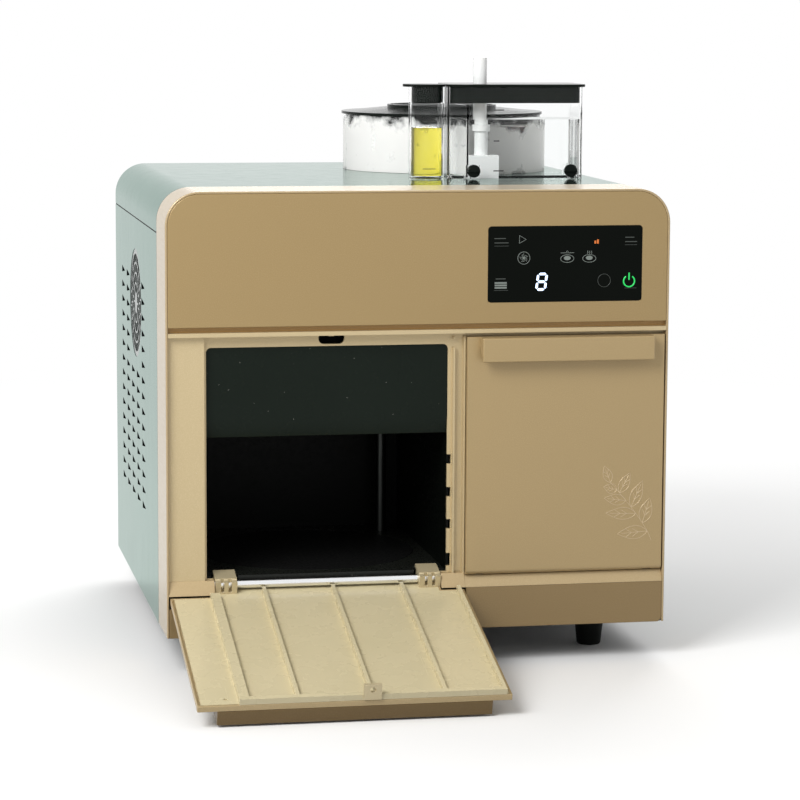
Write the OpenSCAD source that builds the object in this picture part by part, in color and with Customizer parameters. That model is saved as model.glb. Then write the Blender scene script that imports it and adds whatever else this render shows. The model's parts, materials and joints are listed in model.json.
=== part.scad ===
// Automatic flatbread maker for a worktop.
// X runs to the right, Y into the depth and Z up, with the worktop at zero.
// The left discharge door stands open and the right door is closed.

/* [Body] */
// Outer width of the body
body_width = 420; // [416:1:430]
// Outer depth of the body
body_depth = 420; // [416:1:430]
// Height of the shell above the feet
shell_height = 365; // [363:1:372]
// Height of the feet under the base
foot_height = 31; // [30:0.5:34]
// Foot radius where it meets the base
foot_radius = 13.5; // [12.5:0.5:15]
// Wall of the moulded outer panels
shell_wall = 2.4; // [2:0.1:2.6]
// Wall of the front moulding
frame_wall = 2; // [1.8:0.1:2.2]
// Radius of the long upper edges
shoulder_radius = 28; // [24:1:32]
// Height of the top cover down to its seam
cover_skirt = 38; // [36:1:42]
// Depth of the front moulding
frame_depth = 64; // [58:1:68]
// Height of the lowest front band
base_band = 34.8; // [33:0.2:36]

/* [Control panel] */
// Height of the control panel below the top
fascia_height = 110; // [108:0.5:112]
// Thickness of the control panel
fascia_wall = 3; // [2.6:0.1:3.4]
// Width of the touch display
display_width = 128; // [120:1:132]
// Height of the touch display
display_height = 58; // [54:1:60]
// Middle of the display across the panel
display_x = 121; // [118:1:124]
// Height of the display middle below the top
display_drop = 62; // [60:1:64]

/* [Baking chamber] */
// Middle of the chamber across the body
chamber_x = -75.75; // [-78:0.25:-74]
// Inner width of the chamber
chamber_width = 200.5; // [196:0.5:202]
// Depth from the chamber mouth to its back wall
chamber_depth = 219; // [212:1:224]
// Height of the tray above the base
tray_height = 48; // [47:0.5:49]
// Inner height of the chamber above the tray
chamber_height = 174; // [170:1:176]
// Thickness of the chamber sheet
sheet = 2; // [1.5:0.1:2.2]
// Radius of both hot plates
plate_radius = 92; // [84:1:93]
// Thickness of both hot plates
plate_thickness = 10; // [8:0.5:11]
// Distance the upper plate travels down
press_travel = 112; // [110:1:113]
// Radius of the two guide rods
rod_radius = 5; // [4:0.5:6]
// Radius of the press screw
screw_radius = 6; // [5:0.5:7]
// Sideways distance of each guide rod from the middle
rod_offset = 80; // [78:1:82]

/* [Doors] */
// Angle of the open discharge door from closed
open_angle = 104.6; // [100:0.1:104.8]
// Radius of the discharge door rod
rod_r = 3.6; // [3:0.1:3.8]
// Radial play of parts that turn on a pin
turning_play = 0.05; // [0.03:0.01:0.1]
// Thickness of the discharge door without its ribs
door_thickness = 5; // [4.6:0.1:5.4]
// Thickness of the right door
closed_thickness = 8; // [7.6:0.2:8.4]
// Distance from the rod to the end of the discharge door
door_len = 199; // [194:0.5:199]
// Reach of both door handles in front of the door
handle_reach = 12; // [10:0.5:12]
// Height of both door handles
handle_height = 20; // [18:1:22]
// Height of the ribs on the discharge door
rib_height = 4.7; // [4:0.1:4.8]

/* [Containers] */
// Radius of the flour container
flour_radius = 90.5; // [88:0.5:91.5]
// Height of the flour container above the top
flour_height = 50.5; // [48:0.5:54]
// Wall of the clear containers
clear_wall = 2; // [1.8:0.1:2.4]
// Width of the water tank
tank_width = 120.5; // [114:0.5:122]
// Depth of the water tank
tank_depth = 57; // [50:1:58]
// Height of the water tank and oil container
tank_height = 79; // [75:1:81]
// Radius of the upright corners of the water tank
tank_corner = 9; // [7:0.5:10]
// Depth of the lid skirts of the water tank and oil container
skirt_depth = 14; // [10:1:15]
// Radius of the oil container
oil_radius = 15.6; // [14:0.2:15.8]
// Depth of the pockets that seat the containers
dock_depth = 6; // [5:0.5:7]
// Play around a seated container
dock_play = 0.6; // [0.4:0.1:0.8]
// Gap between the flour container and the water tank
bin_gap = 11.5; // [8:0.5:14]

/* [Kneading] */
// Middle of the kneading cup across the body
cup_x = 123; // [121:1:125]
// Outer radius of the kneading cup
cup_radius = 58; // [54:1:60]
// Height of the kneading cup
cup_height = 104; // [96:1:108]
// Radius of the paddle shaft
paddle_shaft = 5; // [4.5:0.5:6]
// Inner radius of the flour screw tube
auger_bore = 13; // [12.6:0.2:14]

/* [Cooling] */
// Radius of the round air grille
grille_radius = 48; // [46:1:49]
// Depth position of the round air grille
grille_y = 28; // [26:1:30]
// Height of the grille middle below the top
grille_drop = 113; // [111:1:115]
// Thickness of the fan
fan_depth = 24; // [20:1:25]
// Number of fan blades
blade_count = 7; // [5:1:9]

/* [Hidden] */
$fn = 64;
eps = 0.01;
// Outer planes of the body
half_w = body_width / 2;
y_front = -body_depth / 2;
y_back = body_depth / 2;
z_base = foot_height;
z_top = z_base + shell_height;
z_seam = z_top - cover_skirt;
y_frame = y_front + frame_depth;
in_w = half_w - shell_wall;
lip_w = half_w - frame_wall;
pan_top = z_base + 3;
// Front openings
z_fascia = z_top - fascia_height;
z_tray = z_base + tray_height;
z_band = z_base + base_band;
z_door_top = z_tray + 196;
z_visor_low = z_tray + 115;
z_mouth = z_tray + 189.6;
sill_low = z_tray - 3.6;
sill_high = z_tray - 1.6;
slot_x = chamber_x + 3;
slot_low = z_mouth + 1.6;
plane_y = y_front + 10.1;
plane_t = 3;
ch_l = chamber_x - chamber_width / 2;
ch_r = chamber_x + chamber_width / 2;
ch_front = plane_y + plane_t;
ch_back = plane_y + chamber_depth + plane_t;
ch_top = z_tray + chamber_height;
bay_l = 41.5;
bay_r = lip_w - 3.5;
bay_back = y_front + 188;
bay_low = z_tray + 8;
// Discharge door
hinge_y = y_front + 10;
hinge_z = z_tray - 6;
door_l = -lip_w + 0.6;
door_r = 37.6;
door_in = -5;
door_out = door_in - door_thickness;
tail = 15;
corner_z = 12.6;
arm_l = chamber_x - 94.3;
arm_r = chamber_x + 94.3;
// Closed door
pin_y = y_front + closed_thickness / 2;
pin_z = z_tray + 1;
pin_r = 1.6;
r_door_l = 39.2;
r_door_r = lip_w - 1.2;
lug_places = [r_door_l + 8.8, r_door_r - 14.8];
half_t = closed_thickness / 2;
// Press
press_y = ch_back - plate_radius - 18;
plate_up = z_tray + 3 + press_travel;
head_low = plate_up + plate_thickness + 10;
head_t = 12;
rod_y = press_y + rod_offset;
bridge_t = 4;
nut_z = ch_top + bridge_t;
nut_r = 13;
nut_h = 16;
screw_top = nut_z + nut_h + press_travel + 4;
// Containers
flour_x = 79.5;
flour_y = y_back - 112;
tank_l = 53.5;
tank_y = flour_y - flour_radius - bin_gap - tank_depth;
tank_cx = tank_l + tank_width / 2;
tank_cy = tank_y + tank_depth / 2;
tube_x = tank_l + 32.5;
tube_y = tank_y + 26;
catch_places = [tank_l + 21.5, tank_l + 108];
oil_x = 36.8;
oil_y = tank_y + 17;
dock_z = z_top - dock_depth;
catch_r = 5.6;
flour_top = z_top + flour_height;
// Kneading
cup_y = y_front + 98;
cup_z = bay_low;
auger_z = z_top - 31;
auger_run = sqrt(pow(cup_x - flour_x, 2) + pow(cup_y - flour_y, 2));
auger_dir = atan2(cup_y - flour_y, cup_x - flour_x);
chute_r = 12;
// Cooling
grille_z = z_top - grille_drop;
fan_x = -in_w + 1.2;
gold = [0.70, 0.60, 0.42];
light_gold = [0.80, 0.70, 0.52];
black = [0.10, 0.11, 0.11];
steel = [0.75, 0.76, 0.77];
pale = [0.78, 0.84, 0.82];
clear = [0.85, 0.92, 0.95, 0.35];

// Shell outline with two round upper corners
module arch(half, low, high, r) {
  intersection() {
    translate([-half, low]) square([2 * half, high - low]);
    union() {
      translate([-half, low]) square([2 * half, high - low - r]);
      translate([-half + r, low]) square([2 * (half - r), high - low]);
      for (s = [-1, 1])
        translate([s * (half - r), high - r]) circle(r);
    }
  }
}

// Outline in X and Z drawn from one depth to another
module along_y(from, to) {
  translate([0, to, 0]) rotate([90, 0, 0]) linear_extrude(to - from) children();
}

// Block given by its two far corners
module block(a, b) {
  translate(a) cube(b - a);
}

// Round bar between two points on one axis
module bar_x(x0, x1, y, z, r) {
  translate([x0, y, z]) rotate([0, 90, 0]) cylinder(r = r, h = x1 - x0);
}

module bar_y(y0, y1, x, z, r) {
  translate([x, y0, z]) rotate([-90, 0, 0]) cylinder(r = r, h = y1 - y0);
}

module bar_z(z0, z1, x, y, r) {
  translate([x, y, z0]) cylinder(r = r, h = z1 - z0);
}

// Flat outline raised from one height to another
module upright(z0, z1) {
  translate([0, 0, z0]) linear_extrude(z1 - z0) children();
}

// Rectangle with four round corners
module rounded(w, d, r) {
  translate([-w / 2 + r, -d / 2]) square([w - 2 * r, d]);
  translate([-w / 2, -d / 2 + r]) square([w, d - 2 * r]);
  for (sx = [-1, 1], sy = [-1, 1])
    translate([sx * (w / 2 - r), sy * (d / 2 - r)]) circle(r);
}

// Foot places
module at_feet() {
  for (sx = [-1, 1], sy = [-1, 1])
    translate([sx * (half_w - 48), sy < 0 ? y_front + 65 : y_back - 45, 0]) children();
}

module base_pan() {
  color(black) difference() {
    union() {
      block([-in_w, y_front + 3, z_base], [in_w, y_back - shell_wall, pan_top]);
      difference() {
        block([-in_w, y_front + 3, z_base], [in_w, y_back - shell_wall, z_base + 16]);
        block([-in_w + 2.4, y_front + 5.4, z_base], [in_w - 2.4, y_back - 4.8, z_base + 17]);
      }
      at_feet() bar_z(z_base, pan_top + 5, 0, 0, 9);
    }
    at_feet() bar_z(z_base - 1, pan_top + 6, 0, 0, 2.2);
    for (i = [-6:6])
      block([i * 12 - 2, 60, z_base - 1], [i * 12 + 2, 94, pan_top + 1]);
  }
}

module feet() {
  color(black) at_feet() {
    cylinder(r1 = foot_radius - 4, r2 = foot_radius - 3.2, h = 1);
    translate([0, 0, 1]) cylinder(r1 = foot_radius - 3.2, r2 = foot_radius, h = z_base - 1);
    bar_z(z_base - eps, pan_top + 5, 0, 0, 2.2);
  }
}

module front_frame() {
  color(gold) along_y(y_front, y_frame) difference() {
    arch(half_w, z_base, z_top, shoulder_radius);
    arch(lip_w, z_base - 1, z_top - frame_wall, shoulder_radius - frame_wall);
  }
}

// Inner front plate with the two openings, the left column and the edge ridges
module front_bezel() {
  color(light_gold) difference() {
    union() {
      block([-lip_w, plane_y, z_tray], [lip_w, ch_front, z_fascia - 4.4]);
      block([arm_r + 0.3, plane_y, z_band], [lip_w, ch_front, z_tray + 1]);
      block([-lip_w, plane_y, z_band], [arm_l - 0.3, ch_front, z_tray + 1]);
      block([-lip_w, y_front + 5.5, sill_high], [ch_l - 2, plane_y + eps, z_fascia - 7]);
      block([-lip_w, y_front, z_fascia - 7.8], [lip_w, plane_y + eps, z_fascia - 4.4]);
      block([-lip_w, plane_y, z_tray], [ch_l - 2, y_front + 30, z_tray + 2]);
      for (x = [28.4, 37.2])
        block([x, y_front + 5.5, sill_high], [x + 1.4, plane_y + eps, z_door_top]);
    }
    translate([chamber_x, 0, 0]) along_y(plane_y - 1, ch_front + 1) arch(chamber_width / 2, z_tray - 1, z_mouth, 4);
    for (z = [3.5, 35, 62, 89.5])
      block([ch_r - 1, plane_y - 1, z_tray + z], [ch_r + 3.2, ch_front + 1, z_tray + z + (z < 10 ? 11 : 8)]);
    block([bay_l, plane_y - 1, bay_low], [bay_r, ch_front + 1, z_mouth]);
    translate([slot_x, 0, 0]) along_y(plane_y - 1, ch_front + 1) {
      translate([-10.75, slot_low + 4.5]) square([21.5, 1.9]);
      translate([-6.25, slot_low]) square([12.5, 6.4]);
      for (s = [-1, 1])
        translate([s * 6.25, slot_low + 4.5]) circle(4.5);
    }
    block([27.9, y_front + 5, hinge_z + door_len - 6], [34.2, plane_y, hinge_z + door_len + 0.8]);
    bar_x(ch_l - 7, ch_r + 8, hinge_y, hinge_z, rod_r);
  }
}

module control_fascia() {
  color(gold) difference() {
    union() {
      along_y(y_front, y_front + fascia_wall)
        arch(lip_w, z_fascia, z_top - frame_wall, shoulder_radius - frame_wall);
      block([-lip_w, y_front, z_fascia], [lip_w, plane_y, z_fascia + 2.4]);
    }
    translate([display_x - display_width / 2 - 1, y_front - 1, z_top - display_drop - display_height / 2 - 1])
      cube([display_width + 2, 2.6, display_height + 2]);
    translate([display_x - display_width / 2 + 4, y_front, z_top - display_drop - display_height / 2 + 4])
      cube([display_width - 8, 4, display_height - 8]);
  }
}

module fascia_undercut() {
  color([0.24, 0.17, 0.10])
    block([-lip_w, y_front + 5, z_fascia - 4.4], [lip_w, plane_y, z_fascia]);
}

module display_glass() {
  color([0.03, 0.03, 0.04])
    translate([display_x - display_width / 2, y_front + 0.1, z_top - display_drop - display_height / 2])
      cube([display_width, 1.5, display_height]);
}

// Circuit board with its screen module and a row of parts
module control_board() {
  color([0.08, 0.30, 0.18]) translate([display_x, y_front + fascia_wall, z_top - display_drop]) {
    translate([-display_width / 2 - 6, 3, -display_height / 2 - 4])
      cube([display_width + 12, 1.6, display_height + 8]);
    for (sx = [-1, 1], sz = [-1, 1])
      translate([sx * (display_width / 2 + 2), 0, sz * (display_height / 2)])
        rotate([-90, 0, 0]) cylinder(r = 2.4, h = 3);
    translate([-display_width / 2 + 6, 4.6, -display_height / 2 + 6]) cube([60, 2.4, 26]);
    for (i = [0:4])
      translate([20 + i * 9, 4.6, 12]) rotate([-90, 0, 0]) cylinder(r = 3, h = 7);
    translate([14, 4.6, -18]) cube([44, 5, 9]);
  }
}

module base_fascia() {
  color(gold) difference() {
    union() {
      block([-lip_w, y_front, z_base], [lip_w, y_front + 3, z_base + 24.4]);
      block([r_door_l + 0.2, y_front, z_base], [lip_w, y_front + 3, z_band]);
    }
    translate([lip_w, y_front - 1, z_base]) rotate([0, 45, 0]) translate([-2, 0, -2]) cube([4, 5, 4]);
  }
}

// Sloping sill in front of the rod ends and under the right door
module sill_strip() {
  color(gold) difference() {
    for (s = [[-lip_w, arm_l - 0.3, sill_high], [arm_r + 0.3, r_door_l - 0.4, sill_high], [r_door_l - 0.5, lip_w, sill_low]])
      translate([s[0], 0, 0]) rotate([90, 0, 90]) linear_extrude(s[1] - s[0])
        polygon([[plane_y, z_band], [plane_y, s[2]], [y_front + 5, s[2]], [y_front, z_band]]);
    bar_x(ch_l - 7, ch_r + 8, hinge_y, hinge_z, rod_r);
  }
}

// Top cover with round shoulders, a rear end wall and three seats
module top_cover() {
  color(black) difference() {
    union() {
      difference() {
        along_y(y_frame, y_back) arch(half_w, z_seam, z_top, shoulder_radius);
        along_y(y_frame - 1, y_back - shell_wall)
          arch(in_w, z_seam - 1, z_top - shell_wall, shoulder_radius - shell_wall);
      }
      upright(dock_z - 2, z_top - eps) tank_shape(-0.6 - dock_play);
      bar_z(dock_z - 2, z_top - eps, oil_x, oil_y, oil_radius + 2.6);
      bar_z(dock_z - 2, z_top - eps, flour_x, flour_y, flour_radius - 6);
    }
    upright(dock_z, z_top + 1) tank_shape(2 - dock_play);
    bar_z(dock_z, z_top + 1, oil_x, oil_y, oil_radius - 1.4 + dock_play);
    bar_z(dock_z, z_top + 1, flour_x, flour_y, flour_radius - 9 + dock_play);
    bar_z(dock_z - 3, z_top, flour_x, flour_y, auger_bore);
    bar_z(dock_z - 3, z_top, oil_x, oil_y, 4);
    bar_z(dock_z - 3, z_top, tank_cx + 20, tank_cy, 5);
  }
}

// Outline of the water tank, drawn in by a wall
module tank_shape(inset) {
  translate([tank_cx, tank_cy])
    rounded(tank_width - 2 * inset, tank_depth - 2 * inset, tank_corner - inset);
}

// Place of each gill slot as column and row
module gill_slots() {
  for (col = [0:4], row = [0:14]) {
    y = 138 - 43 * col;
    z = z_base + 80 + 13.7 * row;
    if (norm([y - grille_y, z - grille_z]) > grille_radius + 12)
      translate([-half_w - 1, y, z]) rotate([90, 0, 90])
        linear_extrude(shell_wall + 2) polygon([[-13, -0.4], [12, -3.2], [12, 3.2], [-13, 0.4]]);
  }
}

module left_side_panel() {
  color(pale) difference() {
    block([-half_w, y_frame, z_base], [-in_w, y_back, z_seam]);
    gill_slots();
    bar_x(-half_w - 1, -in_w + 1, grille_y, grille_z, grille_radius);
  }
}

// Disc with rings of air holes and a flange behind the panel
module round_grille() {
  color([0.28, 0.33, 0.31]) difference() {
    union() {
      bar_x(-half_w + 0.4, -in_w, grille_y, grille_z, grille_radius);
      bar_x(-in_w, -in_w + 1.2, grille_y, grille_z, grille_radius + 4);
    }
    translate([-half_w - 1, grille_y, grille_z]) rotate([90, 0, 90]) linear_extrude(6)
      for (ring = [0:3]) difference() {
        circle(16.6 + 8.9 * ring);
        circle(9.4 + 8.9 * ring);
        for (i = [0:7 + 4 * ring])
          rotate(i * 360 / (8 + 4 * ring) + 9 * ring) translate([0, -0.8]) square([grille_radius, 1.6]);
      }
  }
}

module right_side_panel() {
  color(pale) difference() {
    block([in_w, y_frame, z_base], [half_w, y_back, z_seam]);
    for (col = [0:3], row = [0:9])
      block([in_w - 1, -96 + 70 * col, z_base + 120 + 15 * row], [half_w + 1, -60 + 70 * col, z_base + 124 + 15 * row]);
  }
}

module rear_panel() {
  color(black) difference() {
    block([-in_w, y_back - shell_wall, z_base], [in_w, y_back, z_seam]);
    for (col = [0:2], row = [0:9])
      block([-160 + 60 * col, y_back - 4, z_base + 90 + 14 * row], [-122 + 60 * col, y_back + 1, z_base + 94 + 14 * row]);
    block([110, y_back - 4, z_base + 30], [138, y_back + 1, z_base + 51]);
    block([158, y_back - 4, z_base + 30], [178, y_back + 1, z_base + 52]);
  }
}

module cavity_liner() {
  color([0.16, 0.17, 0.17]) difference() {
    union() {
      block([ch_l - sheet, ch_front, pan_top], [ch_l, ch_back + sheet, ch_top]);
      block([ch_r, ch_front, pan_top], [ch_r + sheet, ch_back + sheet, ch_top]);
      block([ch_l - sheet, ch_back, pan_top], [ch_r + sheet, ch_back + sheet, ch_top]);
      for (x = [ch_l + 6, ch_r - 10])
        block([x, ch_back - 60, pan_top], [x + 4, ch_back, z_tray - 3]);
    }
    block([ch_l - 5, ch_front - 1, pan_top - 1], [ch_r + 5, hinge_y + 26, z_tray + 0.4]);
  }
}

// Dark hood over the mouth with a creased lower edge
module cavity_visor() {
  color(black) {
    translate([chamber_x, 0, 0]) along_y(plane_y + 0.4, plane_y + 2.8)
      arch(chamber_width / 2, z_visor_low + 16, z_mouth - 0.1, 3.9);
    translate([ch_l, plane_y + 0.4, z_visor_low + 16]) rotate([90, 0, 90])
      linear_extrude(chamber_width) polygon([[0, 0], [5, -16], [7.4, -16], [2.4, 0]]);
  }
}

module discharge_tray() {
  color([0.07, 0.07, 0.075]) difference() {
    union() {
      block([ch_l, hinge_y + 6, z_tray - 3], [ch_r, ch_back, z_tray]);
      block([ch_l, hinge_y + 6, z_tray - 5], [ch_r, hinge_y + 8, z_tray]);
      block([chamber_x - 60, hinge_y + 12, z_tray - 7], [chamber_x + 60, hinge_y + 15.5, z_tray - 2]);
    }
    bar_z(z_tray - 4, z_tray + 1, chamber_x, press_y, plate_radius + 0.6);
    for (s = [-1, 1])
      block([chamber_x + s * 85 - 11, hinge_y, z_tray - 8], [chamber_x + s * 85 + 11, hinge_y + 17, z_tray + 1]);
  }
}

module lower_hot_plate() {
  color([0.12, 0.12, 0.125]) difference() {
    union() {
      bar_z(z_tray - plate_thickness, z_tray, chamber_x, press_y, plate_radius);
      bar_z(z_tray - plate_thickness, z_tray - 3, chamber_x, press_y, plate_radius + 2.5);
      for (a = [45:90:315])
        translate([chamber_x, press_y, pan_top]) rotate(a) translate([78, 0, 0])
          cylinder(r = 4, h = z_tray - plate_thickness - pan_top + 1);
    }
    bar_z(z_tray - plate_thickness - 1, z_tray - 4, chamber_x, press_y, 30);
  }
}

module heater_ring(z, lift) {
  translate([chamber_x, press_y, z]) rotate_extrude() translate([56, 0]) circle(3.2, $fn = 24);
  for (s = [-1, 1])
    bar_z(min(z, z + lift), max(z, z + lift), chamber_x + s * 8, press_y + 55, 2.4);
}

module lower_heater() {
  color([0.45, 0.33, 0.22]) heater_ring(z_tray - plate_thickness - 3.2, -8);
}

module press_bridge() {
  color(steel) difference() {
    block([ch_l - sheet, ch_front, ch_top], [ch_r + sheet, ch_back + sheet, nut_z]);
    bar_z(ch_top - 1, nut_z + 1, chamber_x, press_y, nut_r - 3);
    for (s = [-1, 1])
      bar_z(ch_top - 1, nut_z + 1, chamber_x + s * rod_offset, rod_y, rod_radius);
  }
}

module guide_rods() {
  color(steel) for (s = [-1, 1])
    bar_z(z_tray, nut_z, chamber_x + s * rod_offset, rod_y, rod_radius);
}

module press_gearbox() {
  color([0.55, 0.56, 0.58]) difference() {
    union() {
      block([chamber_x - 26, press_y - 24, nut_z], [chamber_x + 26, press_y + 24, nut_z + nut_h - 2]);
      block([chamber_x - 26, press_y - 34, nut_z], [chamber_x + 26, press_y + 20, nut_z + 4]);
    }
    bar_z(nut_z - 1, nut_z + nut_h, chamber_x, press_y, nut_r + turning_play);
  }
}

module press_motor() {
  color([0.30, 0.31, 0.33]) {
    bar_y(press_y + 24, press_y + 30, chamber_x, nut_z + 9, 6);
    bar_y(press_y + 30, press_y + 84, chamber_x, nut_z + 17, 17);
    bar_y(press_y + 84, press_y + 87, chamber_x, nut_z + 17, 6);
  }
}

module drive_nut() {
  color([0.72, 0.58, 0.28]) difference() {
    union() {
      bar_z(nut_z, nut_z + nut_h, chamber_x, press_y, nut_r);
      bar_z(nut_z + nut_h - 2 + 0.3, nut_z + nut_h + 2, chamber_x, press_y, nut_r + 4);
    }
    bar_z(nut_z - 1, nut_z + nut_h + 3, chamber_x, press_y, screw_radius + 0.4);
    for (i = [0:5])
      translate([chamber_x, press_y, nut_z + nut_h]) rotate(60 * i) translate([12, 0, 0]) cylinder(r = 1.6, h = 5);
  }
}

module press_head() {
  color([0.50, 0.51, 0.53]) difference() {
    union() {
      block([chamber_x - 40, press_y - 40, head_low], [chamber_x + 40, press_y + 40, head_low + head_t]);
      block([chamber_x - rod_offset - 11, rod_y - 11, head_low], [chamber_x + rod_offset + 11, rod_y + 11, head_low + head_t]);
      block([chamber_x - 14, press_y, head_low], [chamber_x + 14, rod_y, head_low + head_t]);
      for (sx = [-1, 1], sy = [-1, 1])
        translate([chamber_x + sx * 30, press_y + sy * 30, plate_up + plate_thickness]) cylinder(r = 5, h = 11);
    }
    for (s = [-1, 1])
      bar_z(head_low - 1, head_low + head_t + 1, chamber_x + s * rod_offset, rod_y, rod_radius + turning_play);
  }
}

module press_screw() {
  color(steel) {
    bar_z(head_low + head_t, screw_top, chamber_x, press_y, screw_radius);
    bar_z(head_low + head_t, head_low + head_t + 6, chamber_x, press_y, 9.5);
  }
}

module upper_hot_plate() {
  color([0.14, 0.14, 0.145]) {
    bar_z(plate_up, plate_up + plate_thickness, chamber_x, press_y, plate_radius);
    translate([chamber_x, press_y, plate_up + plate_thickness]) difference() {
      cylinder(r = plate_radius - 4, h = 3);
      translate([0, 0, -1]) cylinder(r = plate_radius - 8, h = 6);
    }
  }
}

module upper_heater() {
  color([0.45, 0.33, 0.22]) heater_ring(plate_up + plate_thickness + 3.2, 6);
}

module hinge_rod() {
  color([0.86, 0.88, 0.89]) bar_x(ch_l - 6, ch_r + 6.7, hinge_y, hinge_z, rod_r);
}

module latch_catch() {
  color(black) {
    block([slot_x - 14, ch_front, slot_low + 6.6], [slot_x + 14, ch_front + 16, slot_low + 10]);
    block([slot_x - 14, ch_front + 12, slot_low - 6], [slot_x + 14, ch_front + 16, slot_low + 7]);
    bar_z(slot_low + 5, slot_low + 7, slot_x, hinge_y + door_in + rib_height + 4.6, 1.1);
  }
}

// Parts of the discharge door are drawn closed and swung to the open place
module swing() {
  translate([0, hinge_y, hinge_z]) rotate([open_angle, 0, 0]) children();
}

// Outline of the discharge door with both lower corners cut clear of the sill
module door_outline(inset) {
  difference() {
    translate([door_l + inset, -tail + inset]) square([door_r - door_l - 2 * inset, door_len + tail - 2 * inset]);
    translate([door_l - 1, -tail - 1]) square([arm_l - door_l + 1 + inset, tail + 1 + corner_z + inset]);
    translate([arm_r - inset, -tail - 1]) square([door_r - arm_r + 1 + inset, tail + 1 + corner_z + inset]);
  }
}

module left_door_skin() {
  color(gold) swing() difference() {
    along_y(door_out, door_in - 0.2) door_outline(0);
    along_y(door_out + 2.2, door_in + 1) door_outline(2.2);
    block([door_l + 1.2, door_in - 1.4, corner_z + 2.2], [door_l + 3, door_in + 1, door_len - 4]);
  }
}

// Inner panel of the door with the ribs that carry the bread
module left_door_liner() {
  rib_top = door_in + rib_height;
  color([0.86, 0.82, 0.67]) swing() difference() {
    union() {
      along_y(door_out + 2.2, door_in) difference() {
        door_outline(2.2);
        translate([door_l, -tail]) square([3, door_len + 2 * tail]);
      }
      block([chamber_x - 99.4, door_in - eps, corner_z + 2.2], [chamber_x - 91.5, rib_top, door_len - 2.2]);
      for (dx = [-54, 3.5, 61])
        block([chamber_x + dx - 1.5, door_in - eps, 6], [chamber_x + dx + 1.5, rib_top, door_len - 2.2]);
      block([30.4, door_in - eps, corner_z + 2.2], [33.4, rib_top, door_len - 2.2]);
      block([chamber_x - 99.4, door_in - eps, door_len - 5.2], [33.4, rib_top, door_len - 0.2]);
    }
    for (s = [-1, 1])
      bar_y(door_in - 2, door_in + 1, -85 + s * 99.7, door_len - 10, 1.6);
  }
}

// Handle bar drawn across a door, open below for the fingertips
module handle_bar(x0, x1, top) {
  translate([x0, 0, top]) rotate([90, 0, 90]) linear_extrude(x1 - x0)
    polygon([[0, 0], [-handle_reach, 0], [-handle_reach, -handle_height], [-handle_reach + 3, -handle_height], [0, -8]]);
}

module left_door_handle() {
  color(gold) swing() translate([0, door_out, 0]) handle_bar(door_l + 15.4, door_r - 15, door_len);
}

// Two finned arms that turn on the rod, each with a stop tab toward the tray
module left_hinge_arms() {
  color(light_gold) swing() for (s = [-1, 1]) translate([chamber_x + s * 85, 0, 0]) difference() {
    union() {
      block([-9, door_in, -9], [9, 5.4, 8]);
      bar_x(-9, 9, 0, 0, 6.6);
      block([-9, 3.8, -14], [9, 6.6, 3]);
    }
    block([-10, door_in - 3, -10], [10, door_in, 10]);
    bar_x(-10, 10, 0, 0, rod_r + turning_play);
    for (x = [-4.4, 1.8])
      block([x, -3.6, 2.6], [x + 2.6, 8, 10]);
  }
}

module left_latch_tab() {
  color(light_gold) swing() difference() {
    union() {
      block([slot_x - 7, door_in + 0.7, door_len - 0.2], [slot_x + 7, door_in + rib_height + 9, door_len + 1.6]);
      block([slot_x - 7, door_in + rib_height, door_len - 1.4], [slot_x + 7, door_in + rib_height + 9, door_len]);
    }
    translate([slot_x, door_in + rib_height + 4.6, door_len - 4]) cylinder(r = 2.2, h = 8);
  }
}

module right_door_panel() {
  color(gold) difference() {
    union() {
      block([r_door_l, pin_y - half_t, pin_z], [r_door_r, pin_y + half_t, z_door_top]);
      bar_x(r_door_l, r_door_r, pin_y, pin_z, half_t);
    }
    block([r_door_l + 14, pin_y + 0.6, pin_z + 14], [r_door_r - 14, pin_y + half_t + 1, z_door_top - 14]);
    bar_x(r_door_l - 1, r_door_r + 1, pin_y, pin_z, pin_r + turning_play);
    for (x = lug_places)
      block([x - 0.5, pin_y - 2.6, pin_z - 6], [x + 6.5, pin_y + 6, pin_z + 2.8]);
  }
}

module right_door_handle() {
  color(gold) translate([0, pin_y - half_t, 0]) handle_bar(r_door_l + 10.3, r_door_r - 11.3, z_door_top);
}

module right_hinge_lugs() {
  color(steel) for (x = lug_places) {
    block([x, pin_y, pin_z - 2.2], [x + 6, plane_y, pin_z + 2.2]);
    bar_x(x, x + 6, pin_y, pin_z, 2.2);
    bar_x(x - 6, x + 12, pin_y, pin_z, pin_r);
  }
}

// Tub behind the right door with three claws that hold the lugs of the cup
module bay_liner() {
  color([0.85, 0.86, 0.84]) translate([cup_x, cup_y, bay_low]) for (a = [30, 150, 270]) rotate(a) {
    translate([cup_radius + 5.6, -7, -eps]) cube([4, 14, 8.6]);
    translate([cup_radius + 1, -7, 5.6]) cube([5, 14, 3]);
    translate([cup_radius + 1, -7, -eps]) cube([5, 2.6, 6]);
  }
  color([0.85, 0.86, 0.84]) difference() {
    block([bay_l - 2, ch_front, bay_low - 2], [bay_r + 2, bay_back + 2, z_mouth + 2]);
    block([bay_l, ch_front - 1, bay_low], [bay_r, bay_back, z_mouth]);
    bar_z(z_mouth - 1, z_mouth + 3, cup_x, cup_y, chute_r + 2.6);
    bar_z(bay_low - 3, bay_low + 1, cup_x, cup_y, 12);
  }
}

module kneading_cup() {
  color(clear) translate([cup_x, cup_y, cup_z]) difference() {
    union() {
      cylinder(r = cup_radius - 2, h = 6);
      translate([0, 0, 4]) cylinder(r = cup_radius, h = cup_height - 4);
      for (a = [30, 150, 270])
        rotate(a) translate([cup_radius - 3, -4, 0]) cube([8, 8, 5]);
    }
    translate([0, 0, 6]) cylinder(r = cup_radius - 2.4, h = cup_height);
    translate([0, 0, -1]) cylinder(r = paddle_shaft + 0.5, h = 9);
  }
}

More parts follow.
